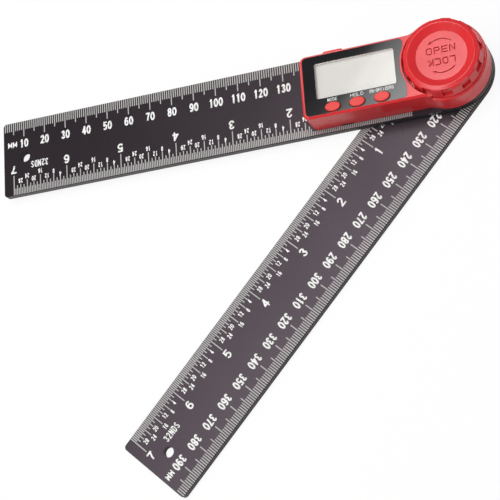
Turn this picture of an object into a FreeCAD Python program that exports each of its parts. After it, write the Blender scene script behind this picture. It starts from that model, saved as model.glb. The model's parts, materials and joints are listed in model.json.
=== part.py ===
import FreeCAD, Part
import math
import os

# Digital angle finder: two flat graduated blades on one pivot, a display housing on the upper blade
# and a round lock knob over the pivot. Millimetres. The pivot axis is Z, the underside of the base
# blade is z = 0 and the base blade runs along +X. The upper blade's pieces are drawn along +X too,
# with +Y towards the inch scale, and are then turned about the pivot to the opening shown.

V = FreeCAD.Vector
UP = V(0, 0, 1)
FULL_TURN = 360.0
HALF = 0.5

# Driving dimensions of the whole tool
opening_angle = 46.5
blade_length = 200.0
blade_width = 34.2
blade_thickness = 3.0
blade_corner_radius = 1.6
blade_edge_chamfer = 0.25
hanging_hole_radius = 2.25
hanging_hole_from_end = 10.4
overrun = 1.0
flush_fit = 0.02
running_fit = 0.05
loose_fit = 0.1

# Pivot stack, from the underside up
stud_head_across_flats = 10.0
stud_head_height = 2.0
stud_shoulder_radius = 4.0
stud_neck_radius = 3.5
stud_thread_radius = 3.0
stud_flat_depth = 0.6
friction_washer_radius = 9.0
friction_washer_thickness = 0.6
friction_washer_proud = 0.1
bush_wall = 1.5
bush_flange_radius = 8.0
bush_flange_thickness = 0.8
rotor_lift = 0.3
rotor_hub_radius = 6.0
rotor_hub_flange_radius = 8.0
rotor_hub_flange_thickness = 0.6
rotor_hub_height = 2.0
rotor_side_gap = 1.1
rotor_thickness = 1.0
rotor_window_count = 6
rotor_window_width = 3.0
rotor_window_inner_share = 0.38
rotor_window_outer_share = 0.82
clip_thickness = 0.6
clip_outer_radius = 5.4
clip_groove_depth = 0.5
clip_mouth = 4.6
stator_air_gap = 0.4
stator_thickness = 1.0
stator_inner_radius = 6.6

# Housing, measured from the pivot along and across the upper blade
housing_near_step = 2.0
housing_far_step = 4.5
housing_corner_radius = 2.6
housing_blend_radius = 8.0
housing_top_chamfer = 0.8
housing_wall = 1.5
head_inset = 0.1
head_height = 9.4
head_edge_chamfer = 0.4
head_ceiling = 1.6
ceiling_thickness = 1.0
knob_well_gap = 0.4
knob_well_lip = 0.6
knob_well_tip = 6.4
knob_well_wall = 1.2
back_plate_thickness = 1.2
back_ring_thickness = 1.5
pry_slot_from_end = 17.4
pry_slot_length = 5.5
pry_slot_height = 0.9
pry_slot_depth = 0.5

# Display
bezel_thickness = 0.8
bezel_rim = 0.9
bezel_far_end_rim = 1.2
bezel_lap = 1.3
bezel_corner_radius = 1.9
window_inner_inset = 3.9
window_outer_inset = 6.3
window_far_inset = 4.4
window_to_buttons = 4.45
window_corner_radius = 0.8
lcd_margin = 0.5
lcd_far_margin = 1.0
lcd_thickness = 1.8
lcd_drop = 0.1
frame_wall = 0.6
zebra_width = 1.4
zebra_height = 1.9
board_thickness = 1.0
board_edge_gap = 0.4
board_head_gap = 0.6
chip_size = 7.0
chip_height = 0.9
flex_width = 8.0
flex_thickness = 0.3

# Buttons
button_count = 3
button_from_window_end = 6.5
button_pitch_share = 0.3072
button_length_share = 0.6275
button_row_inset = 3.25
button_width = 4.0
button_proud = 0.9
button_crown = 0.45
button_gap = 0.2
button_flange_corner = 0.6
button_flange_gap = 0.15
button_flange_thickness = 0.8
button_stem_radius = 1.2
button_travel = 0.6
dome_radius = 1.6
dome_height = 0.25
dome_clearance = 0.05

# Battery tray, which slides out of the far side and takes the largest cell that fits across
tray_head_room = 16.6
tray_end_room = 1.0
tray_back_room = 3.9
tray_side_wall = 1.2
tray_floor = 0.8
tray_lift = 0.2
tray_side_height = 3.5
tray_front_height = 9.0
tray_front_thickness = 1.3
tray_gap = 0.1
tray_end_wall = 0.3
grip_length = 8.8
grip_reach = 1.5
grip_height = 4.0
grip_round = 1.2
cell_thickness = 3.2
cell_board_gap = 0.9
cell_rim_step = 0.25
cell_cap_margin = 1.4
contact_slot_width = 6.0
contact_width = 4.0
contact_thickness = 0.3
contact_foot = 9.0

# Screws
blade_screw_radius = 1.0
blade_screw_head_radius = 2.0
blade_screw_length = 7.4
blade_screw_boss_wall = 0.8
board_screw_radius = 0.6
board_screw_head_radius = 1.2
board_screw_head_height = 0.6
board_screw_length = 3.0
board_post_wall = 0.7
drive_slot_width = 0.4
drive_slot_depth = 0.3

# Lock knob
knob_inset = 0.8
knob_skirt_gap = 0.4
knob_ring_step = 0.7
knob_ring_width = 2.0
knob_ring_fall = 0.8
knob_ring_round = 0.9
knob_height = 6.155
knob_dish_slope = 3.1
knob_dish_depth = 1.855
knob_dish_round = 0.5
knob_wall = 1.6
knob_boss_radius = 8.0
knob_recess_depth = 2.0
knob_pocket_count = 12
knob_pocket_angle = 14.5
knob_pocket_depth = 1.1
knob_flange_height = 1.0
knob_phase_angle = 2.0
cap_thickness = 0.8
nut_across_flats = 10.0
nut_height = 3.0
thrust_washer_radius = 8.5
thrust_washer_thickness = 0.8
thrust_washer_sunk = 0.6
wave_washer_radius = 7.0
wave_washer_thickness = 0.6

# Heights that follow from the stack
upper_blade_bottom = blade_thickness + friction_washer_proud
upper_blade_top = upper_blade_bottom + blade_thickness
back_plate_top = upper_blade_top + back_plate_thickness
tray_bottom = back_plate_top + tray_lift
cell_bottom = tray_bottom + tray_floor
cell_top = cell_bottom + cell_thickness
board_bottom = cell_top + cell_board_gap
board_top = board_bottom + board_thickness
lcd_bottom = board_top + zebra_height
lcd_top = lcd_bottom + lcd_thickness
ceiling_bottom = lcd_top + lcd_drop
ceiling_top = ceiling_bottom + ceiling_thickness
housing_top = ceiling_top + bezel_thickness
head_top = upper_blade_top + head_height
head_ceiling_bottom = head_top - head_ceiling
bush_top = upper_blade_top + bush_flange_thickness
hub_bottom = bush_top + rotor_lift
rotor_bottom = hub_bottom + rotor_hub_flange_thickness
rotor_top = rotor_bottom + rotor_thickness
hub_top = hub_bottom + rotor_hub_height
clip_bottom = hub_top + flush_fit
stator_bottom = rotor_top + stator_air_gap
stator_top = stator_bottom + stator_thickness
thrust_washer_bottom = head_top - thrust_washer_sunk
thrust_washer_top = thrust_washer_bottom + thrust_washer_thickness
wave_washer_top = thrust_washer_top + wave_washer_thickness
knob_bottom = head_top + knob_skirt_gap
knob_top = knob_bottom + knob_height
dish_floor = knob_top - knob_dish_depth
cap_bottom = dish_floor - cap_thickness
nut_bottom = wave_washer_top
stud_top = nut_bottom + nut_height

# Widths and radii that follow from the blade's width
blade_half = blade_width * HALF
head_radius = blade_half - head_inset
head_inner_radius = head_radius - housing_wall
housing_near_side = head_radius - housing_near_step
housing_far_side = head_radius - housing_far_step
knob_radius = head_radius - knob_inset
knob_well_radius = knob_radius + knob_well_gap
knob_ring_radius = knob_radius - knob_ring_step
knob_dish_edge_radius = knob_ring_radius - knob_ring_width
knob_dish_floor_radius = knob_dish_edge_radius - knob_dish_slope
bush_outer_radius = stud_shoulder_radius + running_fit + bush_wall
back_ring_outer = head_inner_radius - loose_fit
rotor_radius = back_ring_outer - back_ring_thickness - rotor_side_gap
rotor_web = rotor_radius - rotor_hub_radius
rotor_window_inner_radius = rotor_hub_radius + rotor_web * rotor_window_inner_share
rotor_window_outer_radius = rotor_hub_radius + rotor_web * rotor_window_outer_share
stator_outer_radius = head_inner_radius - loose_fit
button_row = housing_near_side - button_row_inset
window_far_side = housing_far_side - window_far_inset
window_near_side = button_row - window_to_buttons

# The cell and its tray, and the housing's length
tray_front = -housing_far_side
tray_inner_face = tray_front + tray_front_thickness
tray_back = housing_near_side - housing_wall - tray_back_room
pocket_radius = (tray_back - tray_inner_face) * HALF - tray_end_wall
cell_radius = pocket_radius - loose_fit
cell_centre = tray_inner_face + tray_end_wall + pocket_radius
tray_start = head_radius + tray_head_room
tray_end = tray_start + 2 * (pocket_radius + tray_side_wall)
tray_centre = (tray_start + tray_end) * HALF
housing_far_end = tray_end + tray_end_room + housing_wall
pry_slot_start = housing_far_end - pry_slot_from_end

# Places along the front
bezel_inner_end = knob_well_radius - bezel_lap
window_inner_end = bezel_inner_end + window_inner_inset
window_outer_end = housing_far_end - window_outer_inset
button_pitch = (window_outer_end - window_inner_end) * button_pitch_share
button_length = button_pitch * button_length_share
button_first = window_outer_end - button_from_window_end
button_places = [button_first - i * button_pitch for i in range(button_count)]
board_inner_end = head_radius + board_head_gap
lcd_inner_end = window_inner_end - lcd_margin
lcd_outer_end = window_outer_end + lcd_far_margin
lcd_far = -window_far_side - lcd_far_margin
lcd_near = window_near_side + lcd_far_margin
frame_inner_end = lcd_inner_end - frame_wall
frame_outer_end = lcd_outer_end + frame_wall
frame_far = lcd_far - frame_wall
frame_near = lcd_near + frame_wall
board_outer_end = housing_far_end - housing_wall - board_edge_gap
board_far = -housing_far_side + housing_wall + board_edge_gap
board_near = housing_near_side - housing_wall - board_edge_gap
blade_screw_inset = housing_wall + blade_screw_radius + HALF * blade_screw_boss_wall
blade_screw_row = housing_near_side - blade_screw_inset
blade_screw_far_row = blade_screw_inset - housing_far_side
blade_screw_end = board_outer_end - blade_screw_head_radius
blade_screw_head_end = window_inner_end + blade_screw_head_radius
blade_screw_tray_end = tray_start - 2 * blade_screw_head_radius
blade_screw_places = [(blade_screw_end, blade_screw_row),
                      (blade_screw_head_end, blade_screw_row),
                      (blade_screw_tray_end, blade_screw_far_row),
                      (blade_screw_head_end, blade_screw_far_row)]
board_post_radius = board_screw_radius + board_post_wall
board_post_row = housing_near_side - housing_wall - board_screw_head_radius - loose_fit
board_post_end = board_outer_end - board_post_radius
button_flange_reach = HALF * button_pitch - board_post_radius - button_flange_gap
board_screw_places = [(button_first - HALF * button_pitch, board_post_row),
                      (button_first - (1 + HALF) * button_pitch, board_post_row),
                      (board_post_end, board_far + board_post_radius)]


def block(x0, x1, y0, y1, z0, z1):
    """A box between two corners."""
    return Part.makeBox(x1 - x0, y1 - y0, z1 - z0, V(x0, y0, z0))


def rod(radius, z0, z1, x=0.0, y=0.0):
    """A round rod that stands on z0."""
    return Part.makeCylinder(radius, z1 - z0, V(x, y, z0))


def ring(inner, outer, z0, z1, x=0.0, y=0.0):
    """A flat ring."""
    return rod(outer, z0, z1, x, y).cut(rod(inner, z0 - overrun, z1 + overrun, x, y))


def hexagon(across_flats, z0, z1):
    """A hexagonal prism on the pivot axis."""
    radius = across_flats * HALF / math.cos(math.radians(FULL_TURN / 12))
    corners = [V(radius * math.cos(math.radians(FULL_TURN * i / 6)),
                 radius * math.sin(math.radians(FULL_TURN * i / 6)), z0) for i in range(7)]
    return Part.Face(Part.makePolygon(corners)).extrude(V(0, 0, z1 - z0))


def rounded_block(x0, x1, y0, y1, z0, z1, radius):
    """A box whose upright edges are rounded."""
    solid = block(x0, x1, y0, y1, z0, z1)
    edges = [e for e in solid.Edges if abs(e.Vertexes[0].Z - e.Vertexes[1].Z) > (z1 - z0) * HALF]
    return solid.makeFillet(radius, edges)


def oval(length, width, z0, z1, x, y):
    """An elliptical prism, long along the blade."""
    curve = Part.Ellipse(V(x, y, z0), length * HALF, width * HALF).toShape()
    return Part.Face(Part.Wire(curve)).extrude(V(0, 0, z1 - z0))


def flat_edges(solid, height, tolerance=1e-4):
    """The edges of a solid that lie at one height."""
    return [e for e in solid.Edges if abs(e.BoundBox.ZMin - height) < tolerance
            and abs(e.BoundBox.ZMax - height) < tolerance]


def joined(solids):
    """One solid from pieces that touch or overlap."""
    result = solids[0]
    for solid in solids[1:]:
        result = result.fuse(solid)
    return result.removeSplitter()


def blade_blank(z0):
    """A blade with a round pivot end, chamfered edges and its hanging hole."""
    z1 = z0 + blade_thickness
    strip = rounded_block(-blade_width, blade_length, -blade_half, blade_half, z0, z1, blade_corner_radius)
    strip = strip.cut(block(-blade_width - overrun, 0, -blade_width, blade_width, z0 - overrun, z1 + overrun))
    blank = strip.fuse(rod(blade_half, z0, z1)).removeSplitter()
    blank = blank.makeChamfer(blade_edge_chamfer, flat_edges(blank, z0) + flat_edges(blank, z1))
    hole = rod(hanging_hole_radius, z0 - overrun, z1 + overrun, blade_length - hanging_hole_from_end)
    return blank.cut(hole)


def base_blade():
    """The lower blade, with a hexagonal pocket below and a washer seat above."""
    blade = blade_blank(0)
    pocket = hexagon(stud_head_across_flats + loose_fit, -overrun, stud_head_height)
    bore = rod(stud_shoulder_radius + flush_fit, 0, blade_thickness + overrun)
    seat_depth = friction_washer_thickness - friction_washer_proud
    seat = rod(friction_washer_radius + loose_fit, blade_thickness - seat_depth, blade_thickness + overrun)
    return blade.cut(pocket).cut(bore).cut(seat)


def display_blade():
    """The upper blade, bored for its bush and countersunk for the housing's screws."""
    blade = blade_blank(upper_blade_bottom).cut(
        rod(bush_outer_radius + flush_fit, upper_blade_bottom - overrun, upper_blade_top + overrun))
    for x, y in blade_screw_places:
        blade = blade.cut(rod(blade_screw_radius + loose_fit, upper_blade_bottom - overrun,
                              upper_blade_top + overrun, x, y))
        blade = blade.cut(Part.makeCone(blade_screw_head_radius + flush_fit, blade_screw_radius + flush_fit,
                                        blade_screw_head_radius - blade_screw_radius,
                                        V(x, y, upper_blade_bottom)))
    return blade


def pivot_stud():
    """A shouldered stud: hexagonal head, bearing shoulder, neck with a flat, clip groove and threaded top."""
    head = hexagon(stud_head_across_flats, 0, stud_head_height)
    shoulder = rod(stud_shoulder_radius, stud_head_height, hub_bottom)
    neck = rod(stud_neck_radius, hub_bottom, thrust_washer_bottom)
    thread = rod(stud_thread_radius, thrust_washer_bottom, stud_top)
    thread = thread.makeChamfer(loose_fit, flat_edges(thread, stud_top))
    stud = joined([head, shoulder, neck, thread])
    flat = block(stud_neck_radius - stud_flat_depth, blade_width, -blade_width, blade_width,
                 hub_bottom, clip_bottom)
    groove = ring(stud_neck_radius - clip_groove_depth, stud_shoulder_radius, clip_bottom,
                  clip_bottom + clip_thickness + flush_fit)
    return stud.cut(flat).cut(groove)


def friction_washer():
    """The slippery ring between the blades."""
    return ring(stud_shoulder_radius + running_fit, friction_washer_radius,
                upper_blade_bottom - friction_washer_thickness, upper_blade_bottom)


def pivot_bush():
    """The flanged bush that the upper blade turns on."""
    sleeve = rod(bush_outer_radius, upper_blade_bottom, upper_blade_top)
    flange = rod(bush_flange_radius, upper_blade_top, bush_top)
    bore = rod(stud_shoulder_radius + running_fit, 0, bush_top + overrun)
    return joined([sleeve, flange]).cut(bore)


def rotor_hub():
    """The hub that keys the encoder disc to the stud's flat."""
    flange = rod(rotor_hub_flange_radius, hub_bottom, rotor_bottom)
    hub = joined([flange, rod(rotor_hub_radius, hub_bottom, hub_top)])
    bore = rod(stud_neck_radius + flush_fit, hub_bottom - overrun, hub_top + overrun)
    key_face = stud_neck_radius - stud_flat_depth + flush_fit
    bore = bore.cut(block(key_face, blade_width, -blade_width, blade_width,
                          hub_bottom - blade_width, hub_top + blade_width))
    return hub.cut(bore)


def rotor_disc():
    """The encoder's turning disc, with its ring of windows."""
    disc = ring(rotor_hub_radius + flush_fit, rotor_radius, rotor_bottom, rotor_top)
    for i in range(rotor_window_count):
        window = block(rotor_window_inner_radius, rotor_window_outer_radius, -rotor_window_width * HALF,
                       rotor_window_width * HALF, rotor_bottom - overrun, rotor_top + overrun)
        window.rotate(V(0, 0, 0), UP, FULL_TURN * i / rotor_window_count)
        disc = disc.cut(window)
    return disc


def rotor_clip():
    """The open spring clip that holds the hub down."""
    clip = ring(stud_neck_radius - clip_groove_depth + flush_fit, clip_outer_radius, clip_bottom,
                clip_bottom + clip_thickness)
    mouth = block(-clip_outer_radius - overrun, 0, -clip_mouth * HALF, clip_mouth * HALF,
                  clip_bottom - overrun, clip_bottom + clip_thickness + overrun)
    return clip.cut(mouth)


def stator_board():
    """The encoder's fixed ring board."""
    return ring(stator_inner_radius, stator_outer_radius, stator_bottom, stator_top)


def housing_outline(z):
    """The outline of the housing: straight sides that blend into the round head."""
    def blend_centre(side):
        reach = head_radius + housing_blend_radius
        rise = side + housing_blend_radius
        return V(math.sqrt(reach * reach - rise * rise), rise, 0)

    def mirrored(point, sign):
        return V(point.x, sign * point.y, z)

    def blend_arc(side, sign):
        centre = blend_centre(side)
        on_line = V(centre.x, side, 0)
        on_head = V(centre.x, centre.y, 0).normalize() * head_radius
        middle = centre + ((on_line - centre) + (on_head - centre)).normalize() * housing_blend_radius
        return [mirrored(p, sign) for p in (on_line, middle, on_head)]

    near = blend_arc(housing_near_side, 1)
    far = blend_arc(housing_far_side, -1)
    r = housing_corner_radius
    end = housing_far_end
    k = r * (1 - math.cos(math.radians(FULL_TURN / 8)))
    top, low = housing_near_side, -housing_far_side
    edges = [Part.LineSegment(near[0], V(end - r, top, z)).toShape(),
             Part.Arc(V(end - r, top, z), V(end - k, top - k, z), V(end, top - r, z)).toShape(),
             Part.LineSegment(V(end, top - r, z), V(end, low + r, z)).toShape(),
             Part.Arc(V(end, low + r, z), V(end - k, low + k, z), V(end - r, low, z)).toShape(),
             Part.LineSegment(V(end - r, low, z), far[0]).toShape(),
             Part.Arc(*far).toShape(),
             Part.Arc(far[2], V(-head_radius, 0, z), near[2]).toShape(),
             Part.Arc(near[2], near[1], near[0]).toShape()]
    return Part.Face(Part.Wire(edges))


def bezel_blank(z0, z1, gap):
    """The shape of the black front plate, or of its recess when the gap is zero."""
    plate = rounded_block(bezel_inner_end + gap, housing_far_end - bezel_far_end_rim - gap,
                          -housing_far_side + bezel_rim + gap, housing_near_side - bezel_rim - gap,
                          z0, z1, bezel_corner_radius)
    return plate.cut(rod(knob_well_radius + knob_well_lip + gap, z0 - overrun, z1 + overrun))


def window_blank(z0, z1, gap):
    """The rectangle that the display shows through."""
    return rounded_block(window_inner_end + gap, window_outer_end - gap, -window_far_side + gap,
                         window_near_side - gap, z0, z1, window_corner_radius)


def housing_cavity():
    """The hollow inside the housing, open below."""
    wall = housing_wall
    room = rounded_block(0, housing_far_end - wall, -housing_far_side + wall, housing_near_side - wall,
                         upper_blade_top - overrun, ceiling_bottom, housing_corner_radius - wall)
    room = room.cut(rod(knob_well_radius + knob_well_wall, head_ceiling_bottom, ceiling_bottom + overrun))
    return room.fuse(rod(head_inner_radius, upper_blade_top - overrun, head_ceiling_bottom))


def housing_shell():
    """The moulded housing, with its display front, round head, knob well, screw bosses and tray slot."""
    shell = housing_outline(upper_blade_top).extrude(V(0, 0, housing_top - upper_blade_top))
    shell = shell.makeChamfer(housing_top_chamfer, flat_edges(shell, housing_top))
    shell = shell.cut(rod(knob_well_radius, head_top, housing_top + overrun))
    shell = shell.cut(block(-blade_width, knob_well_tip, -blade_width, blade_width,
                            head_top, housing_top + overrun))
    bevel_bottom = head_top - head_edge_chamfer
    bevel = rod(head_radius + overrun, bevel_bottom, head_top)
    bevel = bevel.cut(Part.makeCone(head_radius, head_radius - head_edge_chamfer,
                                    head_edge_chamfer, V(0, 0, bevel_bottom)))
    shell = shell.cut(bevel.common(block(-blade_width, knob_well_tip, -blade_width, blade_width,
                                         bevel_bottom, head_top)))
    shell = shell.cut(housing_cavity())
    shell = shell.cut(bezel_blank(ceiling_top, housing_top + overrun, 0))
    shell = shell.cut(window_blank(ceiling_bottom - overrun, ceiling_top + overrun, 0))
    for x in button_places:
        shell = shell.cut(oval(button_length + 2 * button_gap, button_width + 2 * button_gap,
                               ceiling_bottom - overrun, ceiling_top + overrun, x, button_row))
    boss_radius = blade_screw_radius + blade_screw_boss_wall
    ledge = ring(stator_outer_radius - housing_wall, head_inner_radius + flush_fit,
                 stator_top, head_ceiling_bottom)
    ledge = ledge.cut(block(0, head_radius, -flex_width * HALF - loose_fit, flex_width * HALF + loose_fit,
                            stator_top - overrun, head_ceiling_bottom))
    shell = shell.fuse(ledge)
    for x, y in blade_screw_places:
        shell = shell.fuse(rod(boss_radius, back_plate_top, board_bottom, x, y))
    for x, y in board_screw_places:
        shell = shell.fuse(rod(board_post_radius, board_top, ceiling_bottom + flush_fit, x, y))
    for x, y in blade_screw_places:
        shell = shell.cut(rod(blade_screw_radius, back_plate_top - overrun,
                              upper_blade_bottom + blade_screw_length + loose_fit, x, y))
    for x, y in board_screw_places:
        shell = shell.cut(rod(board_screw_radius, board_top - overrun,
                              board_bottom + board_screw_length, x, y))
    shell = shell.cut(rod(stud_neck_radius + running_fit, head_ceiling_bottom - overrun,
                          head_top + overrun))
    shell = shell.cut(rod(thrust_washer_radius + loose_fit, thrust_washer_bottom, head_top + overrun))
    slot = block(tray_start - tray_gap, tray_end + tray_gap, -housing_far_side - overrun,
                 -housing_far_side + housing_wall + overrun, tray_bottom - tray_gap,
                 tray_bottom + tray_front_height + tray_gap)
    pry_slot = block(pry_slot_start, pry_slot_start + pry_slot_length,
                     housing_near_side - pry_slot_depth, housing_near_side + overrun,
                     upper_blade_top - overrun, upper_blade_top + pry_slot_height)
    return shell.cut(slot).cut(pry_slot).removeSplitter()


def housing_back():
    """The plate that closes the housing against the blade, with the ring that carries the stator."""
    gap = loose_fit
    wall = housing_wall
    plate = rounded_block(0, housing_far_end - wall - gap, -housing_far_side + wall + gap,
                          housing_near_side - wall - gap, upper_blade_top, back_plate_top,
                          housing_corner_radius - wall)
    plate = plate.fuse(rod(head_inner_radius - gap, upper_blade_top, back_plate_top))
    plate = plate.fuse(ring(back_ring_outer - back_ring_thickness, back_ring_outer,
                            upper_blade_top, stator_bottom))
    plate = plate.cut(rod(bush_flange_radius + loose_fit, upper_blade_top - overrun,
                          back_plate_top + overrun))
    for x, y in blade_screw_places:
        plate = plate.cut(rod(blade_screw_radius + loose_fit, upper_blade_top - overrun,
                              back_plate_top + overrun, x, y))
    return plate.removeSplitter()


def bezel_plate():
    """The glossy black front plate with its window and three button holes."""
    plate = bezel_blank(ceiling_top, housing_top, running_fit)
    plate = plate.cut(window_blank(ceiling_top - overrun, housing_top + overrun, 0))
    for x in button_places:
        plate = plate.cut(oval(button_length + 2 * button_gap, button_width + 2 * button_gap,
                               ceiling_top - overrun, housing_top + overrun, x, button_row))
    return plate


def display_window():
    """The clear pane, flush with the front plate and resting on the display glass."""
    pane = window_blank(ceiling_top, housing_top, running_fit)
    lower = window_blank(lcd_top, ceiling_top, running_fit + loose_fit)
    return joined([pane, lower])


def lcd_panel():
    """The liquid crystal cell."""
    return block(lcd_inner_end, lcd_outer_end, lcd_far, lcd_near, lcd_bottom, lcd_top)


def lcd_frame():
    """The frame that holds the cell square on the board."""
    outer = block(frame_inner_end, frame_outer_end, frame_far, frame_near, board_top, lcd_top)
    return outer.cut(block(lcd_inner_end - flush_fit, lcd_outer_end + flush_fit, lcd_far - flush_fit,
                           lcd_near + flush_fit, board_top - overrun, lcd_top + overrun))


def zebra_strips():
    """The two rubber connector strips under the long edges of the cell."""
    strips = []
    for start in (lcd_far, lcd_near - zebra_width):
        strips.append(block(lcd_inner_end, lcd_outer_end, start, start + zebra_width, board_top, lcd_bottom))
    return Part.Compound(strips)


def main_board():
    """The circuit board under the display, resting on the screw bosses."""
    board = block(board_inner_end, board_outer_end, board_far, board_near, board_bottom, board_top)
    board = board.cut(rod(head_inner_radius + loose_fit, board_bottom - overrun, board_top + overrun))
    for x, y in board_screw_places:
        board = board.cut(rod(board_screw_radius + loose_fit, board_bottom - overrun,
                              board_top + overrun, x, y))
    return board


def chip_cap():
    """The resin cap over the display chip, on the upper side of the board."""
    middle = (lcd_inner_end + lcd_outer_end) * HALF
    centre = (lcd_far + lcd_near) * HALF
    cap = block(middle - chip_size * HALF, middle + chip_size * HALF, centre - chip_size * HALF,
                centre + chip_size * HALF, board_top, board_top + chip_height)
    upright = [e for e in cap.Edges if abs(e.Vertexes[0].Z - e.Vertexes[1].Z) > chip_height * HALF]
    cap = cap.makeFillet(chip_size * HALF * HALF, upright)
    return cap.makeFillet(chip_height * HALF, flat_edges(cap, board_top + chip_height))


def board_flex():
    """The ribbon that joins the stator board to the main board."""
    inner = stator_outer_radius - housing_wall - flex_width * HALF
    outer = board_inner_end + flex_width * HALF
    low = block(inner, board_inner_end, -flex_width * HALF, flex_width * HALF,
                stator_top, stator_top + flex_thickness)
    riser = block(board_inner_end, board_inner_end + flex_thickness, -flex_width * HALF,
                  flex_width * HALF, stator_top, board_bottom)
    high = block(board_inner_end, outer, -flex_width * HALF, flex_width * HALF,
                 board_bottom - flex_thickness, board_bottom)
    return joined([low, riser, high])


def switch_domes():
    """The three spring domes on the board, under the buttons."""
    curve = (dome_radius * dome_radius + dome_height * dome_height) / (2 * dome_height)
    domes = []
    for x in button_places:
        ball = Part.makeSphere(curve, V(x, button_row, board_top + dome_height - curve))
        domes.append(ball.common(rod(dome_radius + overrun, board_top, board_top + overrun, x, button_row)))
    return Part.Compound(domes)


def button(x):
    """A push button: crowned oval cap, flange under the housing's front, and stem."""
    top = housing_top + button_proud
    cap = oval(button_length, button_width, ceiling_bottom, top, x, button_row)
    cap = cap.makeFillet(button_crown, flat_edges(cap, top))
    flange = rounded_block(x - button_flange_reach, x + button_flange_reach, frame_near + button_gap,
                           housing_near_side - housing_wall - loose_fit,
                           ceiling_bottom - button_flange_thickness, ceiling_bottom,
                           button_flange_corner)
    stem_bottom = board_top + dome_height + dome_clearance + button_travel
    stem = rod(button_stem_radius, stem_bottom, ceiling_bottom, x, button_row)
    return joined([cap, flange, stem])


def battery_tray():
    """The sliding tray: cell pocket, open contact slot, tall front with its grip."""
    body = block(tray_start, tray_end, tray_inner_face, tray_back,
                 tray_bottom, tray_bottom + tray_side_height)
    pocket = rod(pocket_radius, cell_bottom, cell_bottom + cell_radius, tray_centre, cell_centre)
    slot = block(tray_centre - contact_slot_width * HALF, tray_centre + contact_slot_width * HALF,
                 cell_centre, tray_back + overrun, tray_bottom - overrun, cell_bottom + overrun)
    body = body.cut(pocket).cut(slot)
    grip_top = tray_bottom + tray_front_height
    front = block(tray_start, tray_end, tray_front, tray_inner_face, tray_bottom, grip_top)
    grip = block(tray_centre - grip_length * HALF, tray_centre + grip_length * HALF,
                 tray_front - grip_reach, tray_front + flush_fit, grip_top - grip_height, grip_top)
    corners = [e for e in grip.Edges if e.CenterOfMass.y < tray_front - grip_reach + flush_fit
               and abs(e.Vertexes[0].Z - e.Vertexes[1].Z) > grip_height * HALF]
    grip = grip.makeFillet(grip_round, corners)
    return joined([body, front, grip])


def coin_cell():
    """The coin cell: a can with a stepped cap below."""
    can_bottom = cell_bottom + cell_rim_step
    can = rod(cell_radius, can_bottom, cell_top, tray_centre, cell_centre)
    cap = rod(cell_radius - cell_cap_margin, cell_bottom, can_bottom, tray_centre, cell_centre)
    return joined([can, cap])


def battery_contact_top():
    """The leaf from the board that presses on the can."""
    x0 = tray_centre - contact_width * HALF
    x1 = tray_centre + contact_width * HALF
    foot = block(x0, x1, cell_centre, cell_centre + contact_foot,
                 board_bottom - contact_thickness, board_bottom)
    riser = block(x0, x1, cell_centre, cell_centre + contact_thickness, cell_top, board_bottom)
    pad = block(x0, x1, cell_centre - contact_width, cell_centre + contact_thickness, cell_top,
                cell_top + contact_thickness)
    return joined([foot, riser, pad])


def battery_contact_bottom():
    """The leaf on the back plate that reaches the cap through the tray's slot."""
    x0 = tray_centre - contact_width * HALF
    x1 = tray_centre + contact_width * HALF
    start = cell_centre + contact_thickness
    strip = block(x0, x1, start, board_near - contact_width, back_plate_top,
                  back_plate_top + flush_fit + HALF * tray_lift)
    pad = block(x0, x1, start, start + contact_width, back_plate_top, cell_bottom)
    return joined([strip, pad])


def screw(x, y, z0, length, radius, head_radius, head_height, countersunk):
    """A screw that points up, with its drive slot below."""
    if countersunk:
        head = Part.makeCone(head_radius, radius, head_radius - radius, V(x, y, z0))
        shank = rod(radius, z0 + head_radius - radius, z0 + length, x, y)
    else:
        head = rod(head_radius, z0 - head_height, z0, x, y)
        shank = rod(radius, z0, z0 + length, x, y)
    body = joined([head, shank])
    low = body.BoundBox.ZMin
    for along in (True, False):
        half_long = head_radius * HALF
        half_wide = drive_slot_width * HALF
        dx, dy = (half_long, half_wide) if along else (half_wide, half_long)
        body = body.cut(block(x - dx, x + dx, y - dy, y + dy, low - overrun, low + drive_slot_depth))
    return body


def blade_screws():
    """The four countersunk screws from the blade's underside into the housing."""
    return Part.Compound([screw(x, y, upper_blade_bottom, blade_screw_length, blade_screw_radius,
                                blade_screw_head_radius, 0, True) for x, y in blade_screw_places])


def board_screws():
    """The three pan-head screws that hold the board to the housing."""
    return Part.Compound([screw(x, y, board_bottom, board_screw_length, board_screw_radius,
                                board_screw_head_radius, board_screw_head_height, False)
                          for x, y in board_screw_places])


def thrust_washer():
    """The flat washer sunk in the head under the knob."""
    return ring(stud_neck_radius + running_fit, thrust_washer_radius, thrust_washer_bottom, thrust_washer_top)


def wave_washer():
    """The spring washer that keeps a light drag on the blades, drawn flat as clamped."""
    return ring(stud_thread_radius + running_fit, wave_washer_radius, thrust_washer_top, wave_washer_top)


def rounded(before, corner, after, radius):
    """The start, middle and end of the arc that rounds a corner of an outline."""
    to_start = (before - corner).normalize()
    to_end = (after - corner).normalize()
    bend = to_start.dot(to_end)
    run = radius * ((1 + bend) / (1 - bend)) ** HALF
    inwards = (to_start + to_end).normalize()
    middle = corner + inwards * ((run * run + radius * radius) ** HALF - radius)
    return [corner + to_start * run, middle, corner + to_end * run]


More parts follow.
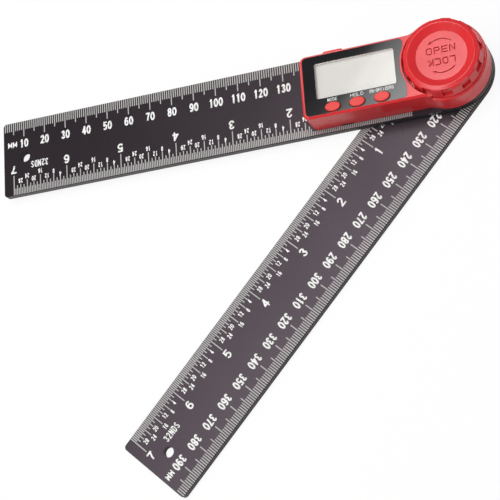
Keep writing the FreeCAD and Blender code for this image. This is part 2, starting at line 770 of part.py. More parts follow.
def lock_knob():
    """The round knob: pocketed skirt, rounded ring, dished centre, and a boss for its nut below."""
    foot = knob_ring_radius - knob_wall
    roof = knob_bottom + knob_recess_depth
    boss = knob_boss_radius
    skirt = V(knob_radius, 0, knob_bottom)
    rim = V(knob_ring_radius, 0, knob_top - knob_ring_fall)
    crest = V(knob_dish_edge_radius, 0, knob_top)
    dish = V(knob_dish_floor_radius, 0, dish_floor)
    rim_arc = rounded(skirt, rim, crest, knob_ring_round)
    crest_arc = rounded(rim, crest, dish, knob_dish_round)
    straight = Part.makePolygon([crest_arc[-1], dish, V(knob_dish_floor_radius, 0, cap_bottom),
                                 V(0, 0, cap_bottom), V(0, 0, nut_bottom), V(boss, 0, nut_bottom),
                                 V(boss, 0, roof), V(foot, 0, roof), V(foot, 0, knob_bottom), skirt,
                                 rim_arc[0]])
    curved = [Part.Arc(*rim_arc).toShape(), Part.makeLine(rim_arc[-1], crest_arc[0]),
              Part.Arc(*crest_arc).toShape()]
    knob = Part.Face(Part.Wire(straight.Edges + curved)).revolve(V(0, 0, 0), UP, FULL_TURN)
    floor = knob_radius - knob_pocket_depth
    mouth = knob_radius + overrun
    lowest = knob_bottom + knob_flange_height
    slot = Part.Face(Part.makePolygon([V(floor, 0, lowest), V(mouth, 0, lowest), V(mouth, 0, knob_top),
                                       V(floor, 0, knob_top), V(floor, 0, lowest)]))
    first = knob_phase_angle - knob_pocket_angle * HALF
    for i in range(knob_pocket_count):
        pocket = slot.revolve(V(0, 0, 0), UP, knob_pocket_angle)
        pocket.rotate(V(0, 0, 0), UP, first + FULL_TURN * i / knob_pocket_count)
        knob = knob.cut(pocket)
    knob = knob.cut(hexagon(nut_across_flats + 2 * flush_fit, nut_bottom - overrun, nut_bottom + nut_height))
    return knob.cut(rod(stud_thread_radius + loose_fit, nut_bottom, cap_bottom + overrun))


def knob_nut():
    """The hexagonal nut held in the knob."""
    return hexagon(nut_across_flats, nut_bottom, stud_top).cut(
        rod(stud_thread_radius + running_fit, nut_bottom - overrun, stud_top + overrun))


def knob_cap():
    """The round cover that closes the knob's dish over the nut."""
    return rod(knob_dish_floor_radius - flush_fit, cap_bottom, dish_floor)


def turned(shape):
    """A piece of the upper blade's assembly, turned to the opening that is shown."""
    shape = shape.copy()
    shape.rotate(V(0, 0, 0), UP, -opening_angle)
    return shape


def main():
    """Writes every node of the tool."""
    os.makedirs("parts", exist_ok=True)
    fixed = {"base_blade": base_blade(), "pivot_stud": pivot_stud(), "friction_washer": friction_washer(),
             "rotor_hub": rotor_hub(), "rotor_disc": rotor_disc(), "rotor_clip": rotor_clip()}
    turning = {"display_blade": display_blade(), "pivot_bush": pivot_bush(), "stator_board": stator_board(),
               "housing_shell": housing_shell(), "housing_back": housing_back(), "bezel_plate": bezel_plate(),
               "display_window": display_window(), "lcd_panel": lcd_panel(), "lcd_frame": lcd_frame(),
               "zebra_strips": zebra_strips(), "main_board": main_board(), "chip_cap": chip_cap(),
               "board_flex": board_flex(), "switch_domes": switch_domes(), "battery_tray": battery_tray(),
               "coin_cell": coin_cell(), "battery_contact_top": battery_contact_top(),
               "battery_contact_bottom": battery_contact_bottom(), "blade_screws": blade_screws(),
               "board_screws": board_screws(), "thrust_washer": thrust_washer(), "wave_washer": wave_washer(),
               "lock_knob": lock_knob(), "knob_nut": knob_nut(), "knob_cap": knob_cap()}
    for name, x in zip(("button_mode", "button_hold", "button_power"), button_places):
        turning[name] = button(x)
    for name, shape in list(fixed.items()) + [(n, turned(s)) for n, s in turning.items()]:
        shape.exportStep("parts/" + name + ".step")
        print(name, len(shape.Solids), round(shape.Volume, 1), shape.isValid())


main()
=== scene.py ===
"""The looks of a digital angle finder: two graduated blades, a display housing and a lock knob."""

import json
import logging
import math
from dataclasses import dataclass, field
from enum import Enum

import bpy
from mathutils import Matrix, Vector

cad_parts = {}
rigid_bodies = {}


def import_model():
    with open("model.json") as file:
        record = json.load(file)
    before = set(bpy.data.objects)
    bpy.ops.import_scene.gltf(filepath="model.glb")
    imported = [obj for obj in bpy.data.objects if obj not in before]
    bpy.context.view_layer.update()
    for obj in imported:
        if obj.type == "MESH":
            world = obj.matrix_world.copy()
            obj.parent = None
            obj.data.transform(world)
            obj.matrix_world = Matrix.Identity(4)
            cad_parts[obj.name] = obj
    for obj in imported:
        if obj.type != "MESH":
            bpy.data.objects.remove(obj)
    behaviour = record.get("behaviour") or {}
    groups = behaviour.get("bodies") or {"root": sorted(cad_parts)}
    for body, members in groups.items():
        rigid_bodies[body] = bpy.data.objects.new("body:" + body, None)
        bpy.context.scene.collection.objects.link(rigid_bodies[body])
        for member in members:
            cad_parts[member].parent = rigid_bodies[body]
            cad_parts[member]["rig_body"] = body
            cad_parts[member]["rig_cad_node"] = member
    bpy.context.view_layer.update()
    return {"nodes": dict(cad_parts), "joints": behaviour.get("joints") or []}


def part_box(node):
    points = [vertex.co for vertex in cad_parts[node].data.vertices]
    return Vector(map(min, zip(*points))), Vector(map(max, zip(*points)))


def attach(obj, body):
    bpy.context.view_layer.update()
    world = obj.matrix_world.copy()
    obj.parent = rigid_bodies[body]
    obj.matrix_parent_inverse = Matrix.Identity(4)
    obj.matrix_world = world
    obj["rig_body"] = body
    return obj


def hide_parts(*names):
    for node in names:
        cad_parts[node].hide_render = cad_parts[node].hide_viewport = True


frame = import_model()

MM = 0.001
INCH = 25.4 * MM
PARTS = 32
MERGE = 0.002 * MM
FLAT_TURN = 0.6
HOUSING_END = 58.7 * MM

log = logging.getLogger("angle_finder")


class Side(Enum):
    """The long edge of a blade that a scale is printed along, seen from the pivot."""

    LEFT = 1
    RIGHT = -1


class Slot(Enum):
    """The record's material slots that new pieces take their finish from."""

    HOUSING = "housing_red"
    KNOB = "knob_red"
    FRONT = "front_black"


@dataclass(frozen=True)
class Stroke:
    """One pen stroke of a character, in shares of the character's width and height."""

    points: tuple[tuple[float, float], ...]
    smooth: bool = False
    ring: bool = False


def line(*points: tuple[float, float]) -> Stroke:
    """A stroke of straight stretches."""
    return Stroke(points)


def loop(*points: tuple[float, float]) -> Stroke:
    """A closed stroke of straight stretches."""
    return Stroke(points, ring=True)


def sweep(*points: tuple[float, float]) -> Stroke:
    """A stroke that bends smoothly through its points."""
    return Stroke(points, smooth=True)


def oval(*points: tuple[float, float]) -> Stroke:
    """A closed stroke that bends smoothly through its points."""
    return Stroke(points, smooth=True, ring=True)


UPRIGHT = line((0, 0), (0, 1))

ALPHABET: dict[str, tuple[Stroke, ...]] = {
    "0": (oval((0.5, 1), (1, 0.72), (1, 0.28), (0.5, 0), (0, 0.28), (0, 0.72)),),
    "1": (line((0.58, 0), (0.58, 1)), line((0.1, 0.78), (0.58, 1))),
    "2": (sweep((0.03, 0.74), (0.5, 1), (0.97, 0.74), (0.55, 0.38), (0.02, 0)),
          line((0.02, 0), (1, 0))),
    "3": (sweep((0.04, 0.8), (0.48, 1), (0.94, 0.77), (0.45, 0.54)),
          sweep((0.45, 0.54), (1, 0.27), (0.5, 0), (0, 0.22))),
    "4": (line((0.74, 0), (0.74, 1)), line((0.74, 1), (0, 0.27)), line((0, 0.27), (1, 0.27))),
    "5": (line((0.92, 1), (0.14, 1), (0.08, 0.54)),
          sweep((0.08, 0.54), (0.5, 0.64), (1, 0.32), (0.47, 0), (0, 0.18))),
    "6": (oval((0.5, 0.6), (1, 0.3), (0.5, 0), (0, 0.3)),
          sweep((0, 0.3), (0.08, 0.78), (0.52, 1), (0.95, 0.84))),
    "7": (line((0, 1), (1, 1)), sweep((1, 1), (0.55, 0.5), (0.35, 0))),
    "8": (oval((0.5, 1), (0.93, 0.77), (0.5, 0.54), (0.07, 0.77)),
          oval((0.5, 0.54), (1, 0.27), (0.5, 0), (0, 0.27))),
    "9": (oval((0.5, 0.4), (0, 0.7), (0.5, 1), (1, 0.7)),
          sweep((1, 0.7), (0.92, 0.22), (0.48, 0), (0.05, 0.16))),
    "C": (line((1, 1), (0.25, 1), (0.07, 0.94), (0, 0.82), (0, 0.18), (0.07, 0.06), (0.25, 0), (1, 0)),),
    "D": (loop((0, 0), (0, 1), (0.6, 1), (0.88, 0.9), (1, 0.7), (1, 0.3), (0.88, 0.1), (0.6, 0)),),
    "E": (line((1, 1), (0, 1), (0, 0), (1, 0)), line((0, 0.5), (0.85, 0.5))),
    "F": (line((1, 1), (0, 1), (0, 0)), line((0, 0.5), (0.85, 0.5))),
    "H": (UPRIGHT, line((1, 0), (1, 1)), line((0, 0.5), (1, 0.5))),
    "K": (UPRIGHT, line((1, 1), (0, 0.42)), line((0.35, 0.6), (1, 0))),
    "L": (line((0, 1), (0, 0), (1, 0)),),
    "M": (UPRIGHT, line((1, 0), (1, 1)), line((0, 1), (0.5, 0.2)), line((0.5, 0.2), (1, 1))),
    "N": (UPRIGHT, line((1, 0), (1, 1)), line((0, 1), (1, 0))),
    "O": (loop((0.25, 1), (0.75, 1), (0.93, 0.94), (1, 0.82), (1, 0.18), (0.93, 0.06), (0.75, 0), (0.25, 0),
               (0.07, 0.06), (0, 0.18), (0, 0.82), (0.07, 0.94)),),
    "P": (UPRIGHT,
          line((0, 1), (0.75, 1), (0.94, 0.93), (1, 0.82), (1, 0.62), (0.94, 0.51), (0.75, 0.44), (0, 0.44))),
    "R": (UPRIGHT,
          line((0, 1), (0.75, 1), (0.94, 0.93), (1, 0.82), (1, 0.64), (0.94, 0.54), (0.75, 0.47), (0, 0.47)),
          line((0.5, 0.47), (1, 0))),
    "S": (sweep((0.97, 0.82), (0.5, 1), (0.06, 0.76), (0.5, 0.51), (0.97, 0.26), (0.5, 0), (0.02, 0.18)),),
    "Z": (line((0, 1), (1, 1)), line((1, 1), (0, 0)), line((0, 0), (1, 0))),
    "/": (line((0.1, 0), (0.9, 1)),),
}


def deselect() -> None:
    """Leaves nothing selected."""
    bpy.ops.object.select_all(action="DESELECT")


def pick(*objs: bpy.types.Object) -> bpy.types.Object:
    """Selects these objects alone and makes the first one active.

    Args:
        objs: the objects to select.

    Returns:
        The active object.
    """
    deselect()
    for obj in objs:
        obj.select_set(True)
    bpy.context.view_layer.objects.active = objs[0]
    return objs[0]


def joined(objs: list[bpy.types.Object]) -> bpy.types.Object:
    """Joins several objects into the first one.

    Args:
        objs: the objects to join.

    Returns:
        The joined object.
    """
    pick(*objs)
    if len(objs) > 1:
        bpy.ops.object.join()
    return bpy.context.active_object


def settled(obj: bpy.types.Object) -> bpy.types.Object:
    """Moves an object's place into its mesh, so that the object sits at the origin.

    Args:
        obj: the object to settle.

    Returns:
        The same object.
    """
    pick(obj)
    bpy.ops.object.transform_apply(location=True, rotation=True, scale=True)
    return obj


def moved(obj: bpy.types.Object, place: Matrix) -> bpy.types.Object:
    """Moves an object's mesh by a matrix."""
    obj.data.transform(place)
    return obj


def copied(obj: bpy.types.Object, place: Matrix) -> bpy.types.Object:
    """Copies an object with a mesh of its own, and moves the copy by a matrix.

    Args:
        obj: the object to copy.
        place: the matrix that takes it to its place.

    Returns:
        The copy.
    """
    twin = obj.copy()
    twin.data = obj.data.copy()
    bpy.context.scene.collection.objects.link(twin)
    return moved(twin, place)


def removed(obj: bpy.types.Object) -> None:
    """Deletes a model that was only copied from."""
    bpy.data.objects.remove(obj)


def apply_modifiers(obj: bpy.types.Object) -> bpy.types.Object:
    """Applies every modifier of an object, in order.

    Args:
        obj: the object.

    Returns:
        The same object.
    """
    pick(obj)
    for name in [m.name for m in obj.modifiers]:
        bpy.ops.object.modifier_apply(modifier=name)
    return obj


def edit_all(obj: bpy.types.Object) -> None:
    """Enters edit mode with the whole mesh selected.

    Args:
        obj: the mesh to edit.
    """
    pick(obj)
    bpy.ops.object.mode_set(mode="EDIT")
    bpy.ops.mesh.select_all(action="SELECT")


def leave_edit() -> None:
    """Goes back to object mode."""
    bpy.ops.object.mode_set(mode="OBJECT")


def closed(obj: bpy.types.Object, distance: float = MERGE) -> bpy.types.Object:
    """Merges doubled points and turns every face outwards.

    Args:
        obj: the mesh to close.
        distance: points nearer to each other than this become one.

    Returns:
        The same object.
    """
    edit_all(obj)
    bpy.ops.mesh.remove_doubles(threshold=distance)
    bpy.ops.mesh.normals_make_consistent(inside=False)
    leave_edit()
    return obj


def block(size: Vector, centre: Vector) -> bpy.types.Object:
    """Adds a box with its place in its mesh.

    Args:
        size: the box's size along X, Y and Z.
        centre: the box's centre.

    Returns:
        The box.
    """
    deselect()
    bpy.ops.mesh.primitive_cube_add(size=1)
    obj = bpy.context.active_object
    return moved(obj, Matrix.Translation(centre) @ Matrix.Diagonal((*size, 1)))


def softened(obj: bpy.types.Object, width: float, segments: int, angle: float) -> bpy.types.Object:
    """Rounds the edges that turn by more than an angle.

    Args:
        obj: the mesh to soften.
        width: the width of the rounding, in metres.
        segments: how many faces make the rounding.
        angle: the least turn that counts as an edge, in degrees.

    Returns:
        The same object, shaded smooth over its rounding and flat on its flat faces.
    """
    bevel = obj.modifiers.new("soft_edges", "BEVEL")
    bevel.width = width
    bevel.segments = segments
    bevel.limit_method = "ANGLE"
    bevel.angle_limit = math.radians(angle)
    bevel.use_clamp_overlap = True
    bevel.miter_outer = "MITER_ARC"
    apply_modifiers(obj)
    return shaded(obj, angle)


def shaded(obj: bpy.types.Object, angle: float) -> bpy.types.Object:
    """Shades a piece smooth, but keeps its sharp edges and its large flat faces as they are.

    Args:
        obj: the mesh to shade.
        angle: the least turn that counts as an edge, in degrees.

    Returns:
        The same object.
    """
    pick(obj)
    bpy.ops.object.shade_smooth_by_angle(angle=math.radians(angle))
    even = obj.modifiers.new("flat_faces", "WEIGHTED_NORMAL")
    even.keep_sharp = True
    return apply_modifiers(obj)


def unfaceted(node: str, name: str) -> bpy.types.Object:
    """A copy of a CAD node with its doubled points merged and its flat faces made whole.

    Args:
        node: the CAD node to copy.
        name: the new piece's name.

    Returns:
        The copy, riding on nothing yet.
    """
    source = frame["nodes"][node]
    twin = source.copy()
    twin.data = source.data.copy()
    twin.name = name
    twin.parent = None
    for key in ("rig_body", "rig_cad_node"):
        if key in twin:
            del twin[key]
    bpy.context.scene.collection.objects.link(twin)
    pick(twin)
    bpy.ops.mesh.customdata_custom_splitnormals_clear()
    edit_all(twin)
    bpy.ops.mesh.remove_doubles(threshold=MERGE)
    bpy.ops.mesh.dissolve_limited(angle_limit=math.radians(FLAT_TURN))
    leave_edit()
    return twin


def finished(obj: bpy.types.Object, name: str, finish: bpy.types.Material, body: str) -> bpy.types.Object:
    """Names a new piece, gives it its finish and lets it ride on its body.

    Args:
        obj: the piece, in place.
        name: the piece's name.
        finish: its material.
        body: the CAD body that it moves with.

    Returns:
        The same object.
    """
    obj.name = name
    obj.data.name = name
    obj.data.materials.clear()
    obj.data.materials.append(finish)
    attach(obj, body)
    log.info("%s: %d faces, rides on %s", name, len(obj.data.polygons), body)
    return obj


class EffectGroup:
    """A shader node group with named inputs and outputs."""

    def __init__(self, name: str, inputs: dict[str, float | None], outputs: dict[str, str]) -> None:
        """Makes the group's sockets.

        Args:
            name: the group's name.
            inputs: input names with their first value, or None for a vector.
            outputs: output names with their socket type.
        """
        self.tree = bpy.data.node_groups.new(name, "ShaderNodeTree")
        for key, value in inputs.items():
            kind = "NodeSocketVector" if value is None else "NodeSocketFloat"
            socket = self.tree.interface.new_socket(key, in_out="INPUT", socket_type=kind)
            if value is not None:
                socket.default_value = value
        for key, kind in outputs.items():
            self.tree.interface.new_socket(key, in_out="OUTPUT", socket_type=kind)
        self.start = self.tree.nodes.new("NodeGroupInput")
        self.end = self.tree.nodes.new("NodeGroupOutput")

    def node(self, kind: str, **values: float | str) -> bpy.types.Node:
        """Adds a node and sets its named inputs or properties."""
        return added_node(self.tree, kind, **values)

    def link(self, source: bpy.types.NodeSocket, target: bpy.types.NodeSocket) -> None:
        """Joins two sockets."""
        self.tree.links.new(source, target)


def added_node(tree: bpy.types.NodeTree, kind: str, **values: object) -> bpy.types.Node:
    """Adds a node to a tree.

    Args:
        tree: the node tree.
        kind: the node's type.
        values: properties of the node, or inputs whose names use _ for a space.

    Returns:
        The new node.
    """
    node = tree.nodes.new(kind)
    for key, value in values.items():
        if hasattr(node, key):
            setattr(node, key, value)
        else:
            node.inputs[key.replace("_", " ")].default_value = value
    return node


def grain_group() -> bpy.types.NodeTree:
    """Builds fine moulded or sprayed grain: a mask between 0 and 1 and a bumped normal.

    Returns:
        The node group.
    """
    group = EffectGroup("surface_grain", {"Vector": None, "Scale": 2000.0, "Height": 0.1},
                        {"Mask": "NodeSocketFloat", "Normal": "NodeSocketVector"})
    noise = group.node("ShaderNodeTexNoise", Detail=3.0, Roughness=0.55)
    bump = group.node("ShaderNodeBump", Distance=0.00002)
    group.link(group.start.outputs["Vector"], noise.inputs["Vector"])
    group.link(group.start.outputs["Scale"], noise.inputs["Scale"])
    group.link(group.start.outputs["Height"], bump.inputs["Strength"])
    group.link(noise.outputs["Fac"], bump.inputs["Height"])
    group.link(noise.outputs["Fac"], group.end.inputs["Mask"])
    group.link(bump.outputs["Normal"], group.end.inputs["Normal"])
    return group.tree


def smudge_group() -> bpy.types.NodeTree:
    """Builds broad handling marks: a slow mask between 0 and 1.

    Returns:
        The node group.
    """
    group = EffectGroup("handling_marks", {"Vector": None, "Scale": 40.0, "Contrast": 0.3},
                        {"Mask": "NodeSocketFloat"})
    noise = group.node("ShaderNodeTexNoise", Detail=2.0, Roughness=0.5, Distortion=0.6)
    low = group.node("ShaderNodeMath", operation="SUBTRACT")
    low.inputs[0].default_value = 0.5
    high = group.node("ShaderNodeMath", operation="ADD")
    high.inputs[0].default_value = 0.5
    ramp = group.node("ShaderNodeMapRange", interpolation_type="SMOOTHSTEP")
    group.link(group.start.outputs["Vector"], noise.inputs["Vector"])
    group.link(group.start.outputs["Scale"], noise.inputs["Scale"])
    group.link(group.start.outputs["Contrast"], low.inputs[1])
    group.link(group.start.outputs["Contrast"], high.inputs[1])
    group.link(noise.outputs["Fac"], ramp.inputs["Value"])
    group.link(low.outputs[0], ramp.inputs["From Min"])
    group.link(high.outputs[0], ramp.inputs["From Max"])
    group.link(ramp.outputs["Result"], group.end.inputs["Mask"])
    return group.tree


def rim_group() -> bpy.types.NodeTree:
    """Builds the mask of a painted highlight along a blade's long edges: it rises within a few tenths of the
    blade's two edges, in patches.

    Returns:
        The node group.
    """
    group = EffectGroup("painted_edge_highlight", {"Vector": None, "Half Width": 0.0171, "Rub": 0.0003},
                        {"Mask": "NodeSocketFloat"})
    split = group.node("ShaderNodeSeparateXYZ")
    across = group.node("ShaderNodeMath", operation="ABSOLUTE")
    start = group.node("ShaderNodeMath", operation="SUBTRACT")
    ramp = group.node("ShaderNodeMapRange", interpolation_type="SMOOTHSTEP")
    patches = group.node("ShaderNodeTexNoise", Scale=900.0, Detail=2.0)
    product = group.node("ShaderNodeMath", operation="MULTIPLY")
    group.link(group.start.outputs["Vector"], split.inputs["Vector"])
    group.link(group.start.outputs["Vector"], patches.inputs["Vector"])
    group.link(split.outputs["Y"], across.inputs[0])
    group.link(group.start.outputs["Half Width"], start.inputs[0])
    group.link(group.start.outputs["Rub"], start.inputs[1])
    group.link(across.outputs[0], ramp.inputs["Value"])
    group.link(start.outputs[0], ramp.inputs["From Min"])
    group.link(group.start.outputs["Half Width"], ramp.inputs["From Max"])
    group.link(ramp.outputs["Result"], product.inputs[0])
    group.link(patches.outputs["Fac"], product.inputs[1])
    group.link(product.outputs[0], group.end.inputs["Mask"])
    return group.tree


class FinishKit:
    """The shared effects, built once and placed in each material."""

    def __init__(self) -> None:
        """Builds the node groups."""
        self.grain = grain_group()
        self.smudge = smudge_group()
        self.rim = rim_group()


class Coat:
    """One material's node tree, with its Principled shader in place."""

    def __init__(self, name: str, kit: FinishKit, turn: float = 0.0) -> None:
        """Makes the material and its object coordinates.

        Args:
            name: the material's name.
            kit: the shared node groups.
            turn: how far the pattern is turned about the pivot, in radians.
        """
        self.material = bpy.data.materials.new(name)
        self.material.use_nodes = True
        self.tree = self.material.node_tree
        self.shader = self.tree.nodes["Principled BSDF"]
        self.output = self.tree.nodes["Material Output"]
        self.kit = kit
        place = added_node(self.tree, "ShaderNodeTexCoord")
        mapping = added_node(self.tree, "ShaderNodeMapping")
        mapping.inputs["Rotation"].default_value = (0, 0, turn)
        self.tree.links.new(place.outputs["Object"], mapping.inputs["Vector"])
        self.vector = mapping.outputs["Vector"]

    def set(self, **values: object) -> None:
        """Sets the shader's own sockets; a name's _ stands for a space."""
        for key, value in values.items():
            self.shader.inputs[key.replace("_", " ")].default_value = value

    def effect(self, group: bpy.types.NodeTree, **values: float) -> bpy.types.Node:
        """Places one shared effect with its own values.

        Args:
            group: the shared node group.
            values: its inputs, whose names use _ for a space.

        Returns:
            The group's node in this material.
        """
        node = self.tree.nodes.new("ShaderNodeGroup")
        node.node_tree = group
        self.tree.links.new(self.vector, node.inputs["Vector"])
        for key, value in values.items():
            node.inputs[key.replace("_", " ")].default_value = value
        return node

    def blend(self, mask: bpy.types.NodeSocket, low: tuple, high: tuple) -> bpy.types.NodeSocket:
        """Makes a colour that goes from low to high with a mask.

        Args:
            mask: a value from 0 to 1.
            low: the colour at 0.
            high: the colour at 1.

        Returns:
            The mixed colour.
        """
        mix = added_node(self.tree, "ShaderNodeMix", data_type="RGBA")
        mix.inputs[6].default_value = low
        mix.inputs[7].default_value = high
        self.tree.links.new(mask, mix.inputs["Factor"])
        return mix.outputs[2]

    def over(self, mask: bpy.types.NodeSocket, below: bpy.types.NodeSocket,
             above: tuple) -> bpy.types.NodeSocket:
        """Lays a colour over another where a mask rises.

        Args:
            mask: a value from 0 to 1.
            below: the colour at 0.
            above: the colour at 1.

        Returns:
            The mixed colour.
        """
        mix = added_node(self.tree, "ShaderNodeMix", data_type="RGBA")
        mix.inputs[7].default_value = above
        self.tree.links.new(mask, mix.inputs["Factor"])
        self.tree.links.new(below, mix.inputs[6])
        return mix.outputs[2]

    def spread(self, mask: bpy.types.NodeSocket, low: float, high: float) -> bpy.types.NodeSocket:
        """Makes a number that goes from low to high with a mask.

        Args:
            mask: a value from 0 to 1.
            low: the number at 0.
            high: the number at 1.

        Returns:
            The number.
        """
        ramp = added_node(self.tree, "ShaderNodeMapRange")
        ramp.inputs["To Min"].default_value = low
        ramp.inputs["To Max"].default_value = high
        self.tree.links.new(mask, ramp.inputs["Value"])
        return ramp.outputs["Result"]

    def feed(self, source: bpy.types.NodeSocket, socket: str) -> None:
        """Links a varying value to one of the shader's sockets."""
        self.tree.links.new(source, self.shader.inputs[socket])


def tone(red: float, green: float, blue: float) -> tuple[float, float, float, float]:
    """Turns a colour's display values into the linear values that nodes take.

    Args:
        red: the red channel, from 0 to 255.
        green: the green channel, from 0 to 255.
        blue: the blue channel, from 0 to 255.

    Returns:
        The linear colour, with full alpha.
    """
    def linear(value: float) -> float:
        """One channel, from display to linear."""
        share = value / 255
        return share / 12.92 if share <= 0.04045 else ((share + 0.055) / 1.055) ** 2.4
    return (linear(red), linear(green), linear(blue), 1.0)


@dataclass(frozen=True)
class BladeCoating:
    """Charcoal satin coating on a blade, finely speckled, with a lighter colour painted in patches along its
    long edges as a painted highlight.
    """

    name: str
    turn: float
    dark: tuple = tone(22, 19, 22)
    light: tuple = tone(38, 33, 37)
    # The lighter colour of the painted highlight along the long edges.
    rubbed: tuple = tone(60, 56, 60)
    sheen: tuple = (1.0, 0.82, 0.95, 1.0)
    smooth: float = 0.25
    rough: float = 0.31
    grain_scale: float = 2600.0

    def material(self, kit: FinishKit) -> bpy.types.Material:
        """Builds the coating.

        Args:
            kit: the shared node groups.

        Returns:
            The material.
        """
        coat = Coat(self.name, kit, self.turn)
        coat.set(Specular_IOR_Level=0.34, Specular_Tint=self.sheen)
        grain = coat.effect(kit.grain, Scale=self.grain_scale, Height=0.3)
        marks = coat.effect(kit.smudge, Scale=30.0, Contrast=0.35)
        rim = coat.effect(kit.rim)
        colour = coat.blend(grain.outputs["Mask"], self.dark, self.light)
        # A lighter colour laid over the speckle along the long edges: painted highlight.
        coat.feed(coat.over(rim.outputs["Mask"], colour, self.rubbed), "Base Color")
        coat.feed(coat.spread(marks.outputs["Mask"], self.smooth, self.rough), "Roughness")
        coat.feed(grain.outputs["Normal"], "Normal")
        return coat.material


@dataclass(frozen=True)
class MouldedPlastic:
    """Moulded plastic with a fine grain and faint handling marks."""

    name: str
    colour: tuple
    shade: tuple
    smooth: float = 0.38
    rough: float = 0.48
    grain_scale: float = 3200.0
    height: float = 0.25
    index: float = 1.5

    def material(self, kit: FinishKit) -> bpy.types.Material:
        """Builds the plastic.

        Args:
            kit: the shared node groups.

        Returns:
            The material.
        """
        coat = Coat(self.name, kit)
        coat.set(IOR=self.index)
        grain = coat.effect(kit.grain, Scale=self.grain_scale, Height=self.height)
        marks = coat.effect(kit.smudge, Scale=60.0, Contrast=0.3)
        coat.feed(coat.blend(marks.outputs["Mask"], self.colour, self.shade), "Base Color")
        coat.feed(coat.spread(marks.outputs["Mask"], self.smooth, self.rough), "Roughness")
        coat.feed(grain.outputs["Normal"], "Normal")
        return coat.material


@dataclass(frozen=True)
class Metal:
    """Bare turned or plated metal with a fine drawn grain."""

    name: str
    colour: tuple
    shade: tuple

    def material(self, kit: FinishKit) -> bpy.types.Material:
        """Builds the metal.

        Args:
            kit: the shared node groups.

        Returns:
            The material.
        """
        coat = Coat(self.name, kit)
        grain = coat.effect(kit.grain, Scale=4000.0, Height=0.2)
        coat.set(Metallic=1.0)
        coat.feed(coat.blend(grain.outputs["Mask"], self.colour, self.shade), "Base Color")
        coat.feed(coat.spread(grain.outputs["Mask"], 0.22, 0.38), "Roughness")
        coat.feed(grain.outputs["Normal"], "Normal")
        return coat.material


@dataclass(frozen=True)
class ClearPane:
    """The clear display pane, which lets light and shadow through to the display."""

    name: str

    def material(self, kit: FinishKit) -> bpy.types.Material:
        """Builds the pane.

        Args:
            kit: the shared node groups.

        Returns:
            The material.
        """
        coat = Coat(self.name, kit)
        marks = coat.effect(kit.smudge, Scale=90.0, Contrast=0.3)
        coat.set(Transmission_Weight=1.0, IOR=1.5, Base_Color=(1, 1, 1, 1))
        coat.feed(coat.spread(marks.outputs["Mask"], 0.03, 0.06), "Roughness")
        through = added_node(coat.tree, "ShaderNodeBsdfTransparent")
        path = added_node(coat.tree, "ShaderNodeLightPath")
        mix = added_node(coat.tree, "ShaderNodeMixShader")
        coat.tree.links.new(path.outputs["Is Shadow Ray"], mix.inputs["Fac"])
        coat.tree.links.new(coat.shader.outputs["BSDF"], mix.inputs[1])
        coat.tree.links.new(through.outputs["BSDF"], mix.inputs[2])
        coat.tree.links.new(mix.outputs["Shader"], coat.output.inputs["Surface"])
        return coat.material


@dataclass(frozen=True)
class ArmPlace:
    """One arm's own axes: along it from the pivot, across it to its left, and up from its face."""

    name: str
    body: str
    turn: float
    top: float
    half_width: float

    def at(self, along: float, across: float, facing: float = 0.0) -> Matrix:
        """The place of a mark on the arm's face.

        Args:
            along: the distance from the pivot along the arm.
            across: the distance from the arm's middle line, positive to the left.
            facing: how far the mark is turned on the face, in radians.

        Returns:
            The matrix that takes a mark drawn about the origin to its place.
        """
        return (Matrix.Rotation(self.turn, 4, "Z") @ Matrix.Translation((along, across, self.top))
                @ Matrix.Rotation(facing, 4, "Z"))


@dataclass(frozen=True)
class TickComb:
    """A run of equal ticks: which marks it holds, and how long they are."""

    first: int
    step: int
    length: float


